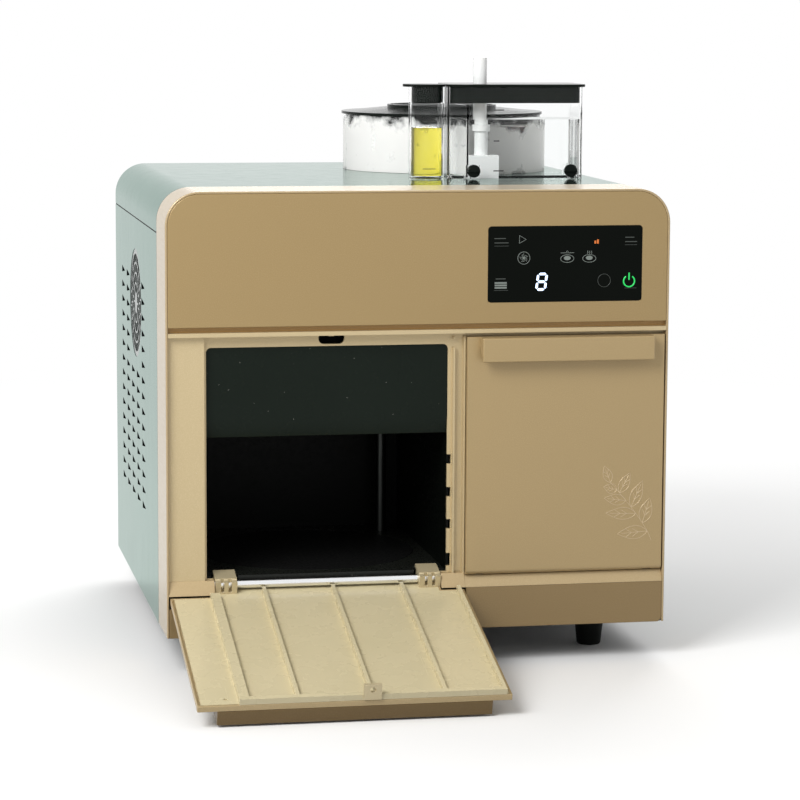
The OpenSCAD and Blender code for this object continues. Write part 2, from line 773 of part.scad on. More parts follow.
module cup_lid() {
  color([0.30, 0.31, 0.32]) translate([cup_x, cup_y, cup_z + cup_height]) difference() {
    union() {
      cylinder(r = cup_radius + 1.5, h = 5);
      translate([0, 0, -5]) cylinder(r = cup_radius - 2.8, h = 6);
      cylinder(r = 20, h = 12);
    }
    translate([0, 0, -6]) cylinder(r = 15.5, h = 20);
    translate([0, 0, -6]) cylinder(r = cup_radius - 5.2, h = 6);
    for (x = [-34, 34])
      translate([x, 0, -7]) cylinder(r = 3.2, h = 14);
  }
}

module kneading_paddle() {
  color([0.90, 0.90, 0.88]) translate([cup_x, cup_y, cup_z]) {
    translate([0, 0, -11]) cylinder(r = paddle_shaft, h = 92);
    translate([0, 0, 6.8]) cylinder(r = 12, h = 10);
    for (a = [0, 180]) rotate(a) {
      translate([6, -3, 7]) cube([44, 6, 9]);
      translate([42, -3, 12]) cube([8, 6, 46]);
      translate([6, -2.5, 50]) cube([44, 5, 7]);
    }
  }
}

module kneading_motor() {
  color([0.30, 0.31, 0.33]) translate([cup_x, cup_y, 0]) difference() {
    union() {
      bar_z(pan_top, cup_z - 16, 0, 0, 30);
      bar_z(cup_z - 16, cup_z - 6, 0, 0, 20);
      for (a = [45:90:315])
        rotate(a) translate([34, 0, pan_top]) cylinder(r = 6, h = 8);
    }
    bar_z(cup_z - 11.4, cup_z, 0, 0, paddle_shaft + turning_play);
  }
}

module fan_frame() {
  s = grille_radius - 2;
  color([0.12, 0.12, 0.13]) difference() {
    block([fan_x, grille_y - s, grille_z - s], [fan_x + fan_depth, grille_y + s, grille_z + s]);
    bar_x(fan_x - 1, fan_x + fan_depth - 3, grille_y, grille_z, s - 2);
    difference() {
      bar_x(fan_x + fan_depth - 4, fan_x + fan_depth + 1, grille_y, grille_z, s - 2);
      bar_x(fan_x + fan_depth - 5, fan_x + fan_depth + 2, grille_y, grille_z, 16);
      for (a = [45, 135])
        translate([fan_x + fan_depth - 1.5, grille_y, grille_z]) rotate([a, 0, 0])
          cube([4, 2 * s, 5], center = true);
    }
    bar_x(fan_x + fan_depth - 3.01, fan_x + fan_depth - 0.6, grille_y, grille_z, 3 + turning_play);
  }
}

module fan_rotor() {
  color([0.20, 0.21, 0.22]) translate([fan_x + 3, grille_y, grille_z]) rotate([0, 90, 0]) {
    cylinder(r = 16, h = fan_depth - 8);
    cylinder(r = 3, h = fan_depth - 3.8);
    for (i = [0:blade_count - 1])
      rotate(i * 360 / blade_count) translate([27, 0, (fan_depth - 8) / 2]) rotate([38, 0, 0])
        cube([29, 19, 1.4], center = true);
  }
}

// Clear round container with a seat ring and an outlet spout below
module flour_container() {
  color(clear) translate([flour_x, flour_y, 0]) difference() {
    union() {
      bar_z(z_top, flour_top, 0, 0, flour_radius);
      bar_z(dock_z, z_top + 2, 0, 0, flour_radius - 9);
      bar_z(auger_z + auger_bore + 2, dock_z + 1, 0, 0, auger_bore - 1);
    }
    bar_z(z_top + 2, flour_top + 1, 0, 0, flour_radius - clear_wall);
    bar_z(dock_z + 2, z_top + 3, 0, 0, flour_radius - 11);
    bar_z(auger_z + auger_bore, dock_z + 3, 0, 0, auger_bore - 3);
  }
}

module flour_lid() {
  color(black) translate([flour_x, flour_y, flour_top]) {
    difference() {
      union() {
        cylinder(r = flour_radius + 1.5, h = 2.4);
        translate([0, 0, -7]) cylinder(r = flour_radius - clear_wall - 0.5, h = 8);
        translate([0, 0, 2.3]) cylinder(r1 = flour_radius - 3, r2 = 54, h = 3.6);
        cylinder(r = 50, h = 8.4);
      }
      translate([0, 0, -8]) cylinder(r = flour_radius - clear_wall - 3, h = 9);
      translate([0, 0, 6.4]) cylinder(r = 47, h = 4);
    }
    translate([-45, -5, 6]) cube([90, 10, 2.4]);
  }
}

// Parts of the flour feed are laid from the flour outlet to the cup
module auger_place() {
  translate([flour_x, flour_y, auger_z]) rotate([0, 90, auger_dir]) children();
}

module auger_tube() {
  color([0.80, 0.81, 0.80]) difference() {
    union() {
      auger_place() translate([0, 0, -17]) cylinder(r = auger_bore + 2, h = auger_run + 34);
      bar_z(auger_z, dock_z - 2, flour_x, flour_y, auger_bore + 1.6);
      bar_z(cup_z + cup_height + 14, auger_z, cup_x, cup_y, chute_r + 2);
    }
    auger_place() translate([0, 0, -15]) cylinder(r = auger_bore, h = auger_run + 30);
    auger_place() translate([0, 0, -18]) cylinder(r = 3.5 + turning_play, h = 6);
    bar_z(auger_z, dock_z, flour_x, flour_y, auger_bore);
    bar_z(cup_z + cup_height + 13, auger_z, cup_x, cup_y, chute_r);
    auger_place() translate([0, 0, auger_run + 14]) cylinder(r = 3.5 + turning_play, h = 6);
  }
  color([0.30, 0.31, 0.33]) auger_place() translate([0, 0, -62]) cylinder(r = 15, h = 40);
  color([0.30, 0.31, 0.33]) auger_place() translate([0, 0, -22.2]) difference() {
    cylinder(r = 9, h = 5.3);
    translate([0, 0, 0.6]) cylinder(r = 3.5 + turning_play, h = 6);
  }
}

// Shaft with a row of slanted flights
module auger_screw() {
  color(steel) auger_place() {
    translate([0, 0, -21]) cylinder(r = 3.5, h = auger_run + 37.4);
    for (i = [0:15])
      translate([0, 0, -6 + i * (auger_run + 4) / 15]) rotate([16, 0, 48 * i]) cylinder(r = auger_bore - 1.2, h = 1.2, center = true);
  }
}

module oil_container() {
  color(clear) translate([oil_x, oil_y, 0]) difference() {
    union() {
      bar_z(z_top, z_top + tank_height, 0, 0, oil_radius);
      bar_z(dock_z, z_top + 1, 0, 0, oil_radius - 1.4);
    }
    bar_z(z_top + 2, z_top + tank_height + 1, 0, 0, oil_radius - clear_wall);
    bar_z(dock_z + 2, z_top + 3, 0, 0, oil_radius - clear_wall - 1.4);
    bar_z(dock_z - 1, dock_z + 3, 0, 0, 2.5);
  }
}

module oil_lid() {
  color(black) translate([oil_x, oil_y, z_top + tank_height]) {
    cylinder(r = oil_radius + 0.4, h = 2.4);
    translate([-9.5, 0, 0]) cylinder(r = oil_radius - 4, h = 2.4);
    translate([0, 0, -skirt_depth]) difference() {
      cylinder(r = oil_radius - clear_wall - 0.4, h = skirt_depth + 1);
      translate([0, 0, -1]) cylinder(r = oil_radius - clear_wall - 2.4, h = skirt_depth + 1);
    }
  }
}

module water_tank() {
  color(clear)
    block([tank_l + 16, tank_y + 1, z_top + 1], [tank_l + 17.6, tank_y + tank_depth - 1, z_top + tank_height - skirt_depth - 2]);
  color(clear) difference() {
    union() {
      upright(z_top, z_top + tank_height) tank_shape(0);
      upright(dock_z, z_top + 1) tank_shape(2);
    }
    upright(dock_z + 2.4, z_top + 3) tank_shape(4.4);
    difference() {
      upright(z_top + 2.4, z_top + tank_height + 1) tank_shape(clear_wall);
      for (x = catch_places)
        block([x - 6, tank_y, z_top + 2], [x + 6, tank_y + 5.6, z_top + catch_r + 6]);
    }
    for (x = catch_places)
      bar_y(tank_y - 1, tank_y + 4, x, z_top + catch_r + 1, 3 + turning_play);
  }
}

module tank_lid() {
  color(black) difference() {
    union() {
      translate([tank_cx + 1, tank_cy]) upright(z_top + tank_height, z_top + tank_height + 2.4)
        rounded(tank_width + 2.2, tank_depth + 3, tank_corner + 1);
      upright(z_top + tank_height - skirt_depth, z_top + tank_height + 1) tank_shape(2.5);
    }
    upright(z_top + tank_height - skirt_depth - 1, z_top + tank_height) tank_shape(4.5);
    bar_z(z_top + tank_height - 1, z_top + tank_height + 8, tube_x, tube_y, 6.6);
  }
}

// Tube that draws water, with its filter foot and collar
module uptake_tube() {
  color([0.93, 0.94, 0.94]) difference() {
    union() {
      bar_z(dock_z + 2.4, z_top + 104, tube_x, tube_y, 6);
      block([tube_x - 13, tube_y - 11, dock_z + 2.4], [tube_x + 14.6, tube_y + 11, z_top + 19.4]);
      bar_z(z_top + 40, z_top + 46, tube_x, tube_y, 8);
    }
    bar_z(dock_z + 8, z_top + 105, tube_x, tube_y, 4.4);
  }
}

// Round quarter turn catch on the tank front
module tank_catch(x) {
  color(black) {
    bar_y(tank_y - 4, tank_y - 0.3, x, z_top + catch_r + 1, catch_r);
    bar_y(tank_y - 1, tank_y + 3.4, x, z_top + catch_r + 1, 3);
    block([x - catch_r + 1, tank_y - 5.6, z_top + catch_r], [x + catch_r - 1, tank_y - 3.9, z_top + catch_r + 2]);
  }
}

module tank_catch_left() {
  tank_catch(catch_places[0]);
}

module tank_catch_right() {
  tank_catch(catch_places[1]);
}

module power_inlet() {
  color(black) difference() {
    union() {
      block([108, y_back, z_base + 27], [140, y_back + 2, z_base + 54]);
      block([110, y_back - 22, z_base + 30], [138, y_back + 1, z_base + 51]);
      block([156, y_back, z_base + 28], [180, y_back + 2, z_base + 54]);
      block([158, y_back - 16, z_base + 30], [178, y_back + 1, z_base + 52]);
    }
    block([112, y_back - 16, z_base + 32], [136, y_back + 3, z_base + 49]);
    block([160.4, y_back - 12, z_base + 32.4], [175.6, y_back + 3, z_base + 49.6]);
    bar_x(157, 179, y_back - 5, z_base + 41, 1.6 + turning_play);
  }
  color(steel) for (x = [117, 124, 131])
    block([x - 1, y_back - 16.5, z_base + 38 + (x == 124 ? 4 : 0)], [x + 1, y_back - 4, z_base + 42 + (x == 124 ? 4 : 0)]);
}

module power_rocker() {
  color([0.15, 0.15, 0.16]) translate([168, y_back - 5, z_base + 41]) {
    rotate([0, 90, 0]) cylinder(r = 1.6, h = 19, center = true);
    rotate([90, 0, 90]) translate([0, 0, -7.2]) linear_extrude(14.4)
      polygon([[-3, -5], [-3, 5], [5, 6.4], [7.6, 6.4], [5.6, 0], [5.1, -6.4], [3, -6.4]]);
  }
}

// Supply board with a transformer, capacitors and a heat sink
module power_board() {
  color([0.10, 0.34, 0.20]) translate([half_w - 150, y_back - 190, pan_top]) {
    block([0, 0, 6], [130, 140, 7.6]);
    for (x = [6, 124], y = [6, 134])
      bar_z(0, 6.2, x, y, 3);
    block([16, 16, 7], [56, 56, 42]);
    for (i = [0:3])
      bar_z(7, 34, 72 + 14 * i, 30, 5.5);
    for (i = [0:5])
      block([20 + 8 * i, 80, 7], [22 + 8 * i, 120, 38]);
    block([18, 80, 7], [64, 120, 11]);
    block([80, 76, 7], [116, 100, 26]);
  }
}

base_pan();
feet();
front_frame();
front_bezel();
control_fascia();
fascia_undercut();
display_glass();
control_board();
base_fascia();
sill_strip();
top_cover();
left_side_panel();
round_grille();
right_side_panel();
rear_panel();
cavity_liner();
cavity_visor();
discharge_tray();
lower_hot_plate();
lower_heater();
press_bridge();
guide_rods();
press_gearbox();
press_motor();
drive_nut();
press_head();
press_screw();
upper_hot_plate();
upper_heater();
hinge_rod();
latch_catch();
left_door_skin();
left_door_liner();
left_door_handle();
left_hinge_arms();
left_latch_tab();
right_door_panel();
right_door_handle();
right_hinge_lugs();
bay_liner();
kneading_cup();
cup_lid();
kneading_paddle();
kneading_motor();
fan_frame();
fan_rotor();
flour_container();
flour_lid();
auger_tube();
auger_screw();
oil_container();
oil_lid();
water_tank();
tank_lid();
uptake_tube();
tank_catch_left();
tank_catch_right();
power_inlet();
power_rocker();
power_board();
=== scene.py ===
"""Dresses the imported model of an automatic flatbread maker.

Lengths are metres in the model's own frame: X to the right, Y into the depth,
Z up, the worktop at zero and the front of the body at Y -0.21. Sizes that a
class holds as fields are millimetres, as a maker's drawing has them.
"""

import json
import logging
import math
from collections.abc import Callable
from dataclasses import dataclass
from enum import Enum
from typing import NamedTuple

import bpy
from mathutils import Matrix, Vector, noise

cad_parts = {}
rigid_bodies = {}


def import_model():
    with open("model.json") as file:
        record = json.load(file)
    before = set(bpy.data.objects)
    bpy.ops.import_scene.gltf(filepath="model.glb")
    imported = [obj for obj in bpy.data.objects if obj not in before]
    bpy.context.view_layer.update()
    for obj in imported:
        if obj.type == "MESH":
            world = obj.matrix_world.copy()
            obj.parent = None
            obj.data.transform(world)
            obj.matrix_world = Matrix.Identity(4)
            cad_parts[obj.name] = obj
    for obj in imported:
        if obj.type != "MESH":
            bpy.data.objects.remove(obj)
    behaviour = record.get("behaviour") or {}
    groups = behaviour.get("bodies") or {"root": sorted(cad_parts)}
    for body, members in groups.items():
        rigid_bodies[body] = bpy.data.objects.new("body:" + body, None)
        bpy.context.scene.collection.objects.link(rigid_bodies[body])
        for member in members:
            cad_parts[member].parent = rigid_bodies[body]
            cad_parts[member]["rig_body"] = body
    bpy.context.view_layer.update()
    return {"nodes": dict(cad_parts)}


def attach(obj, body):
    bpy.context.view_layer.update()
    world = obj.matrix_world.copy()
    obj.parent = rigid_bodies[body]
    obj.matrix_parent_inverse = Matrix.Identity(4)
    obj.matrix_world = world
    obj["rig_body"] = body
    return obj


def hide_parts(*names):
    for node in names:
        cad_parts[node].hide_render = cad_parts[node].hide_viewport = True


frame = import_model()

LOG = logging.getLogger("flatbread_maker")
MM = 0.001
Rgb = tuple[float, float, float]
Point = tuple[float, float, float]
Flat = tuple[float, float]
Box = tuple[float, float, float, float]
Socket = bpy.types.NodeSocket
Piece = bpy.types.Object

EVEN: Point = (1.0, 1.0, 1.0)
UNTURNED: Point = (0.0, 0.0, 0.0)
SHARE: Flat = (0.0, 1.0)
NOISE_SPAN: Flat = (0.3, 0.7)
MIX_FACTOR, MIX_FIRST, MIX_SECOND, MIX_RESULT = 0, 6, 7, 2
DUST_ON_PAINT: Rgb = (0.78, 0.76, 0.68)
DUST_ON_PLASTIC: Rgb = (0.80, 0.79, 0.72)
DUST_ON_COAT: Rgb = (0.80, 0.79, 0.74)
WHITE_LIGHT = (1.0, 1.0, 1.0, 1.0)
UP: Point = (0.0, 0.0, 1.0)
DOWN: Point = (0.0, 0.0, -1.0)
LEVEL = 0.99
MERGE_REACH = 0.00001
FLAT_ANGLE = 0.6


class Slot(Enum):
    """Names of material slots that new pieces are passed with."""

    GOLD = "gold_paint"
    BLACK_MATTE = "black_matte"
    DISPLAY = "display_black"
    STEEL = "bare_steel"
    CLEAR = "clear_plastic"


class Body(Enum):
    """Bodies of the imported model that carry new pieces."""

    HOUSING = "housing"
    RIGHT_DOOR = "right_door"
    WATER = "water_tank"
    OIL = "oil_container"
    FLOUR = "flour_container"


class Grain(Enum):
    """Direction in which a metal is brushed."""

    ALONG_X = (1.0, 40.0, 40.0)
    ALONG_Y = (40.0, 1.0, 40.0)
    ALONG_Z = (40.0, 40.0, 1.0)


def metres(point: Point) -> Point:
    """Turns millimetres into metres."""
    return tuple(c * MM for c in point)


def around(centre: Flat, reach: Flat, turn: float) -> Flat:
    """Finds the point of an ellipse at an angle.

    Args:
        centre: Middle of the ellipse.
        reach: Its two half axes.
        turn: Angle in radians.

    Returns:
        The point.
    """
    return centre[0] + reach[0] * math.cos(turn), centre[1] + reach[1] * math.sin(turn)


class ShaderBoard:
    """Lays out the shader nodes of one material."""

    def __init__(self, name: str) -> None:
        """Starts a material that has one main shader.

        Args:
            name: Name of the material.
        """
        self.material = bpy.data.materials.new(name)
        self.material.use_nodes = True
        self.tree = self.material.node_tree
        self.tree.nodes.clear()
        self.output = self.add("ShaderNodeOutputMaterial")
        self.shader = self.add("ShaderNodeBsdfPrincipled")
        self.join(self.shader.outputs["BSDF"], self.output.inputs["Surface"])

    def add(self, kind: str, **settings: object) -> bpy.types.Node:
        """Adds a node.

        Args:
            kind: Type name of the node.
            **settings: Properties to set on it.

        Returns:
            The new node.
        """
        node = self.tree.nodes.new(kind)
        for key, value in settings.items():
            setattr(node, key, value)
        return node

    def join(self, source: Socket, target: Socket) -> None:
        """Links one socket to another."""
        self.tree.links.new(source, target)

    def set(self, **values: object) -> None:
        """Sets constants on the main shader.

        Args:
            **values: Value of each socket, with underscores for the spaces in its name.
        """
        for key, value in values.items():
            socket = self.shader.inputs[key.replace("_", " ").title().replace("Ior", "IOR")]
            socket.default_value = (*value, 1.0) if socket.type == "RGBA" else value

    def place(self, stretch: Point = EVEN, turn: Point = UNTURNED) -> Socket:
        """Gives object coordinates, stretched and turned.

        Args:
            stretch: Scale along each axis.
            turn: Turn about each axis in radians.

        Returns:
            The vector socket.
        """
        source = self.add("ShaderNodeTexCoord")
        mapping = self.add("ShaderNodeMapping")
        mapping.inputs["Scale"].default_value = stretch
        mapping.inputs["Rotation"].default_value = turn
        self.join(source.outputs["Object"], mapping.inputs["Vector"])
        return mapping.outputs["Vector"]

    def cloud(
        self, waves: float, detail: float = 3.0, stretch: Point = EVEN, turn: Point = UNTURNED
    ) -> Socket:
        """Gives a soft noise between zero and one.

        Args:
            waves: Waves per metre.
            detail: Number of finer layers.
            stretch: Scale along each axis.
            turn: Turn about each axis in radians.

        Returns:
            The value socket.
        """
        node = self.add("ShaderNodeTexNoise")
        node.inputs["Scale"].default_value = waves
        node.inputs["Detail"].default_value = detail
        self.join(self.place(stretch, turn), node.inputs["Vector"])
        return node.outputs[0]

    def spread(self, value: Socket, onto: Flat = SHARE, span: Flat = NOISE_SPAN) -> Socket:
        """Maps a span of a value onto another span.

        Args:
            value: Socket to read.
            onto: What the ends of the span become.
            span: Lowest and highest value read.

        Returns:
            The mapped socket.
        """
        node = self.add("ShaderNodeMapRange")
        for key, number in zip(("From Min", "From Max", "To Min", "To Max"), (*span, *onto)):
            node.inputs[key].default_value = number
        self.join(value, node.inputs["Value"])
        return node.outputs["Result"]

    def work(self, operation: str, first: Socket, second: Socket | float) -> Socket:
        """Combines two values.

        Args:
            operation: Name of the sum, such as MULTIPLY.
            first: First socket.
            second: Second socket or a number.

        Returns:
            The result socket.
        """
        node = self.add("ShaderNodeMath", operation=operation)
        self.join(first, node.inputs[0])
        if isinstance(second, float):
            node.inputs[1].default_value = second
        else:
            self.join(second, node.inputs[1])
        return node.outputs[0]

    def blend(self, factor: Socket, first: Rgb | Socket, second: Rgb) -> Socket:
        """Mixes two colours.

        Args:
            factor: How much of the second colour shows.
            first: Colour or socket under it.
            second: Colour over it.

        Returns:
            The colour socket.
        """
        node = self.add("ShaderNodeMix", data_type="RGBA")
        self.join(factor, node.inputs[MIX_FACTOR])
        if isinstance(first, tuple):
            node.inputs[MIX_FIRST].default_value = (*first, 1.0)
        else:
            self.join(first, node.inputs[MIX_FIRST])
        node.inputs[MIX_SECOND].default_value = (*second, 1.0)
        return node.outputs[MIX_RESULT]

    def specks(self, amount: float, size: float = 0.11, cells: float = 520.0) -> Socket:
        """Masks a few scattered flour specks.

        Args:
            amount: Share of cells that carry a speck.
            size: Radius of a speck in cells.
            cells: Cells per metre.

        Returns:
            A mask that is one on a speck.
        """
        grid = self.add("ShaderNodeTexVoronoi")
        grid.inputs["Scale"].default_value = cells
        self.join(self.place(), grid.inputs["Vector"])
        spot = self.spread(grid.outputs["Distance"], span=(size, size * 0.5))
        split = self.add("ShaderNodeSeparateColor")
        self.join(grid.outputs["Color"], split.inputs[0])
        few = self.work("GREATER_THAN", split.outputs[0], 1.0 - amount)
        return self.work("MULTIPLY", spot, few)

    def paint(self, colour: Socket) -> None:
        """Feeds the base colour."""
        self.join(colour, self.shader.inputs["Base Color"])

    def polish(self, roughness: Socket) -> None:
        """Feeds the roughness."""
        self.join(roughness, self.shader.inputs["Roughness"])

    def part(self, factor: Socket, other: Socket) -> None:
        """Shows another shader where a mask is one.

        Args:
            factor: Mask of the other shader.
            other: Output of the other shader.
        """
        mix = self.add("ShaderNodeMixShader")
        for index, source in enumerate((factor, self.shader.outputs["BSDF"], other)):
            self.join(source, mix.inputs[index])
        self.join(mix.outputs[0], self.output.inputs["Surface"])

    def let_light_in(self, clear: Socket | None = None, walls: float = 4.0) -> None:
        """Lets soft light pass the surface, and the eye behind many clear walls.

        Args:
            clear: Mask that is one where no powder hides what is behind.
            walls: Number of clear surfaces past which the rest is left out.
        """
        path = self.add("ShaderNodeLightPath")
        soft = self.work("MAXIMUM", path.outputs["Is Shadow Ray"], path.outputs["Is Diffuse Ray"])
        deep = self.work("GREATER_THAN", path.outputs["Transmission Depth"], walls)
        if clear is not None:
            deep = self.work("MULTIPLY", deep, clear)
        open_air = self.add("ShaderNodeBsdfTransparent")
        self.part(self.work("MAXIMUM", soft, deep), open_air.outputs[0])

    def relief(self, height: Socket, strength: float, depth: float) -> None:
        """Raises a fine relief on the surface.

        Args:
            height: Height between zero and one.
            strength: How strongly it shows.
            depth: Height of the relief in metres.
        """
        bump = self.add("ShaderNodeBump")
        bump.inputs["Strength"].default_value = strength
        bump.inputs["Distance"].default_value = depth
        self.join(height, bump.inputs["Height"])
        self.join(bump.outputs["Normal"], self.shader.inputs["Normal"])


@dataclass(frozen=True)
class Finish:
    """A finish with a name. Each kind knows how to make its material."""

    name: str

    def make(self) -> bpy.types.Material:
        """Makes the material."""
        raise NotImplementedError


@dataclass(frozen=True)
class SatinPaint(Finish):
    """Metallic satin paint over moulded plastic."""

    tone: Rgb
    flake: Rgb
    roughness: float = 0.36
    metal: float = 0.25
    dust: float = 0.0
    coat: float = 0.1

    def make(self) -> bpy.types.Material:
        """Makes the paint with drifting tone, fine flakes and a soft orange peel.

        Returns:
            The material.
        """
        board = ShaderBoard(self.name)
        board.set(metallic=self.metal, coat_weight=self.coat, coat_roughness=0.22)
        drift = board.spread(board.cloud(waves=5.0), onto=(0.0, 0.18))
        deep = tuple(c * 0.88 for c in self.tone)
        flakes = board.spread(board.cloud(waves=1500.0, detail=1.0), onto=(0.0, 0.55), span=(0.45, 0.75))
        colour = board.blend(flakes, board.blend(drift, self.tone, deep), self.flake)
        if self.dust:
            colour = board.blend(board.specks(self.dust), colour, DUST_ON_PAINT)
        board.paint(colour)
        silk = board.cloud(waves=9.0, stretch=(6.0, 6.0, 60.0))
        board.polish(board.spread(silk, onto=(self.roughness - 0.02, self.roughness + 0.03)))
        board.relief(board.cloud(waves=800.0, detail=2.0), strength=0.08, depth=0.0002)
        return board.material


@dataclass(frozen=True)
class MouldedPlastic(Finish):
    """Moulded plastic, from matte to glossy."""

    tone: Rgb
    shade: Rgb
    roughness: float = 0.4
    coat: float = 0.0
    grain: float = 1200.0
    relief: float = 0.12
    dust: float = 0.0
    scratches: bool = False
    shine: float = 0.5

    def make(self) -> bpy.types.Material:
        """Makes the plastic with a moulded grain, dust and handling marks.

        Returns:
            The material.
        """
        board = ShaderBoard(self.name)
        board.set(coat_weight=self.coat, coat_roughness=0.06, specular_ior_level=self.shine)
        colour = board.blend(board.spread(board.cloud(waves=14.0)), self.tone, self.shade)
        rough = board.spread(board.cloud(waves=60.0), onto=(self.roughness * 0.85, self.roughness * 1.2))
        if self.scratches:
            lines = board.cloud(waves=1.0, detail=1.0, stretch=(900.0, 14.0, 14.0), turn=(0.0, 0.0, 0.35))
            mark = board.spread(lines, onto=(0.0, 0.06), span=(0.72, 0.82))
            colour = board.blend(mark, colour, tuple(min(1.0, c * 1.12) for c in self.tone))
            rough = board.work("ADD", rough, mark)
        if self.dust:
            colour = board.blend(board.specks(self.dust), colour, DUST_ON_PLASTIC)
        board.paint(colour)
        board.polish(rough)
        board.relief(board.cloud(self.grain, detail=2.0), self.relief, depth=0.0002)
        return board.material


@dataclass(frozen=True)
class GlossShell(Finish):
    """Deep gloss moulding that mirrors the room at a flat angle."""

    tone: Rgb
    shade: Rgb
    sheen: Rgb = (0.52, 0.74, 0.655)
    coat: float = 0.18

    def make(self) -> bpy.types.Material:
        """Makes the gloss with long ripples and faint wiping marks.

        Returns:
            The material.
        """
        board = ShaderBoard(self.name)
        board.set(metallic=0.9, specular_tint=self.sheen, coat_weight=self.coat, coat_roughness=0.03)
        drift = board.spread(board.cloud(waves=8.0, stretch=(1.0, 1.0, 0.25)), span=(0.35, 0.65))
        board.paint(board.blend(drift, self.tone, self.shade))
        wipe = board.cloud(waves=22.0, detail=5.0, stretch=(3.0, 3.0, 1.0), turn=(0.4, 0.0, 0.3))
        board.polish(board.spread(wipe, onto=(0.09, 0.13), span=(0.35, 0.7)))
        board.relief(board.cloud(waves=9.0, detail=0.0), strength=0.025, depth=0.0005)
        return board.material


@dataclass(frozen=True)
class BrushedMetal(Finish):
    """Bare metal with a brushed grain."""

    tone: Rgb
    shade: Rgb
    grain: Grain = Grain.ALONG_X
    roughness: float = 0.28
    relief: float = 0.15

    def make(self) -> bpy.types.Material:
        """Makes the metal with its grain in colour, gloss and relief.

        Returns:
            The material.
        """
        board = ShaderBoard(self.name)
        board.set(metallic=1.0)
        lines = board.cloud(waves=30.0, detail=4.0, stretch=self.grain.value)
        board.paint(board.blend(board.spread(lines), self.tone, self.shade))
        board.polish(board.spread(lines, onto=(self.roughness, self.roughness + 0.12)))
        board.relief(lines, self.relief, depth=0.0001)
        return board.material


@dataclass(frozen=True)
class SpeckledCoat(Finish):
    """Dark enamel or non-stick coat with fine pale specks."""

    tone: Rgb
    speck: Rgb
    roughness: float = 0.42
    dust: float = 0.0
    shine: float = 0.06

    def make(self) -> bpy.types.Material:
        """Makes the coat with its specks, a soft pebble relief and flour dust.

        Returns:
            The material.
        """
        board = ShaderBoard(self.name)
        board.set(specular_ior_level=self.shine)
        colour = board.blend(board.specks(amount=0.35, size=0.16, cells=900.0), self.tone, self.speck)
        if self.dust:
            colour = board.blend(board.specks(self.dust), colour, DUST_ON_COAT)
        board.paint(colour)
        pebble = board.cloud(waves=420.0)
        board.polish(board.spread(pebble, onto=(self.roughness - 0.08, self.roughness + 0.1)))
        board.relief(pebble, strength=0.2, depth=0.0003)
        return board.material


@dataclass(frozen=True)
class ClearPlastic(Finish):
    """Clear moulded container wall, with powder that clings above the flour."""

    tint: Rgb = (0.99, 0.997, 0.995)
    roughness: float = 0.0
    powder: float = 0.0
    powder_low: float = 0.0
    powder_high: float = 1.0

    def make(self) -> bpy.types.Material:
        """Makes the clear wall with faint flow marks and clinging powder.

        Returns:
            The material.
        """
        board = ShaderBoard(self.name)
        board.set(ior=1.06, transmission_weight=1.0, coat_weight=0.14, coat_roughness=0.02)
        flow = board.cloud(waves=35.0, stretch=(1.0, 1.0, 0.25))
        film = board.spread(flow, onto=(0.0, 0.25), span=(0.35, 0.75))
        colour = board.blend(film, self.tint, (0.955, 0.965, 0.96))
        clear = None
        board.polish(board.spread(flow, onto=(self.roughness, self.roughness + 0.02), span=(0.3, 0.8)))
        if self.powder:
            split = board.add("ShaderNodeSeparateXYZ")
            board.join(board.place(), split.inputs[0])
            heights = (self.powder_low, self.powder_high)
            height = board.spread(split.outputs["Z"], onto=(1.0, 0.0), span=heights)
            low_down = board.work("MULTIPLY", height, 0.35)
            cling = board.work("ADD", board.cloud(waves=62.0, detail=5.0), low_down)
            mask = board.spread(cling, onto=(0.0, self.powder), span=(0.55, 0.76))
            colour = board.blend(mask, colour, (0.93, 0.925, 0.90))
            clear = board.spread(mask, onto=(1.0, 0.0), span=SHARE)
            board.join(clear, board.shader.inputs["Transmission Weight"])
        board.paint(colour)
        board.let_light_in(clear)
        board.relief(flow, strength=0.02, depth=0.0002)
        return board.material


@dataclass(frozen=True)
class Liquid(Finish):
    """Liquid inside a clear container."""

    tone: Rgb
    shade: Rgb
    bending: float = 1.33

    def make(self) -> bpy.types.Material:
        """Makes the liquid with slight streaks of colour.

        Returns:
            The material.
        """
        board = ShaderBoard(self.name)
        board.set(ior=self.bending, transmission_weight=1.0, roughness=0.0)
        streak = board.cloud(waves=60.0, detail=2.0, stretch=(1.0, 1.0, 0.3))
        board.paint(board.blend(board.spread(streak), self.tone, self.shade))
        board.let_light_in()
        return board.material


@dataclass(frozen=True)
class Powder(Finish):
    """Loose flour."""

    tone: Rgb = (0.93, 0.92, 0.89)
    shade: Rgb = (0.88, 0.86, 0.80)

    def make(self) -> bpy.types.Material:
        """Makes the flour with clumps and fine grains.

        Returns:
            The material.
        """
        board = ShaderBoard(self.name)
        board.set(roughness=0.95, subsurface_weight=0.15)
        clump = board.spread(board.cloud(waves=70.0, detail=6.0), span=(0.4, 0.7))
        board.paint(board.blend(clump, self.tone, self.shade))
        board.relief(board.cloud(waves=900.0, detail=4.0), strength=0.5, depth=0.0006)
        return board.material


@dataclass(frozen=True)
class Glow(Finish):
    """Lit or printed mark on the display."""

    tone: Rgb
    strength: float

    def make(self) -> bpy.types.Material:
        """Makes the mark with a slightly uneven light.

        Returns:
            The material.
        """
        board = ShaderBoard(self.name)
        board.set(roughness=0.3, emission_strength=self.strength)
        uneven = board.spread(board.cloud(waves=300.0), onto=(0.0, 0.25))
        colour = board.blend(uneven, self.tone, tuple(c * 0.6 for c in self.tone))
        board.paint(colour)
        board.join(colour, board.shader.inputs["Emission Color"])
        return board.material


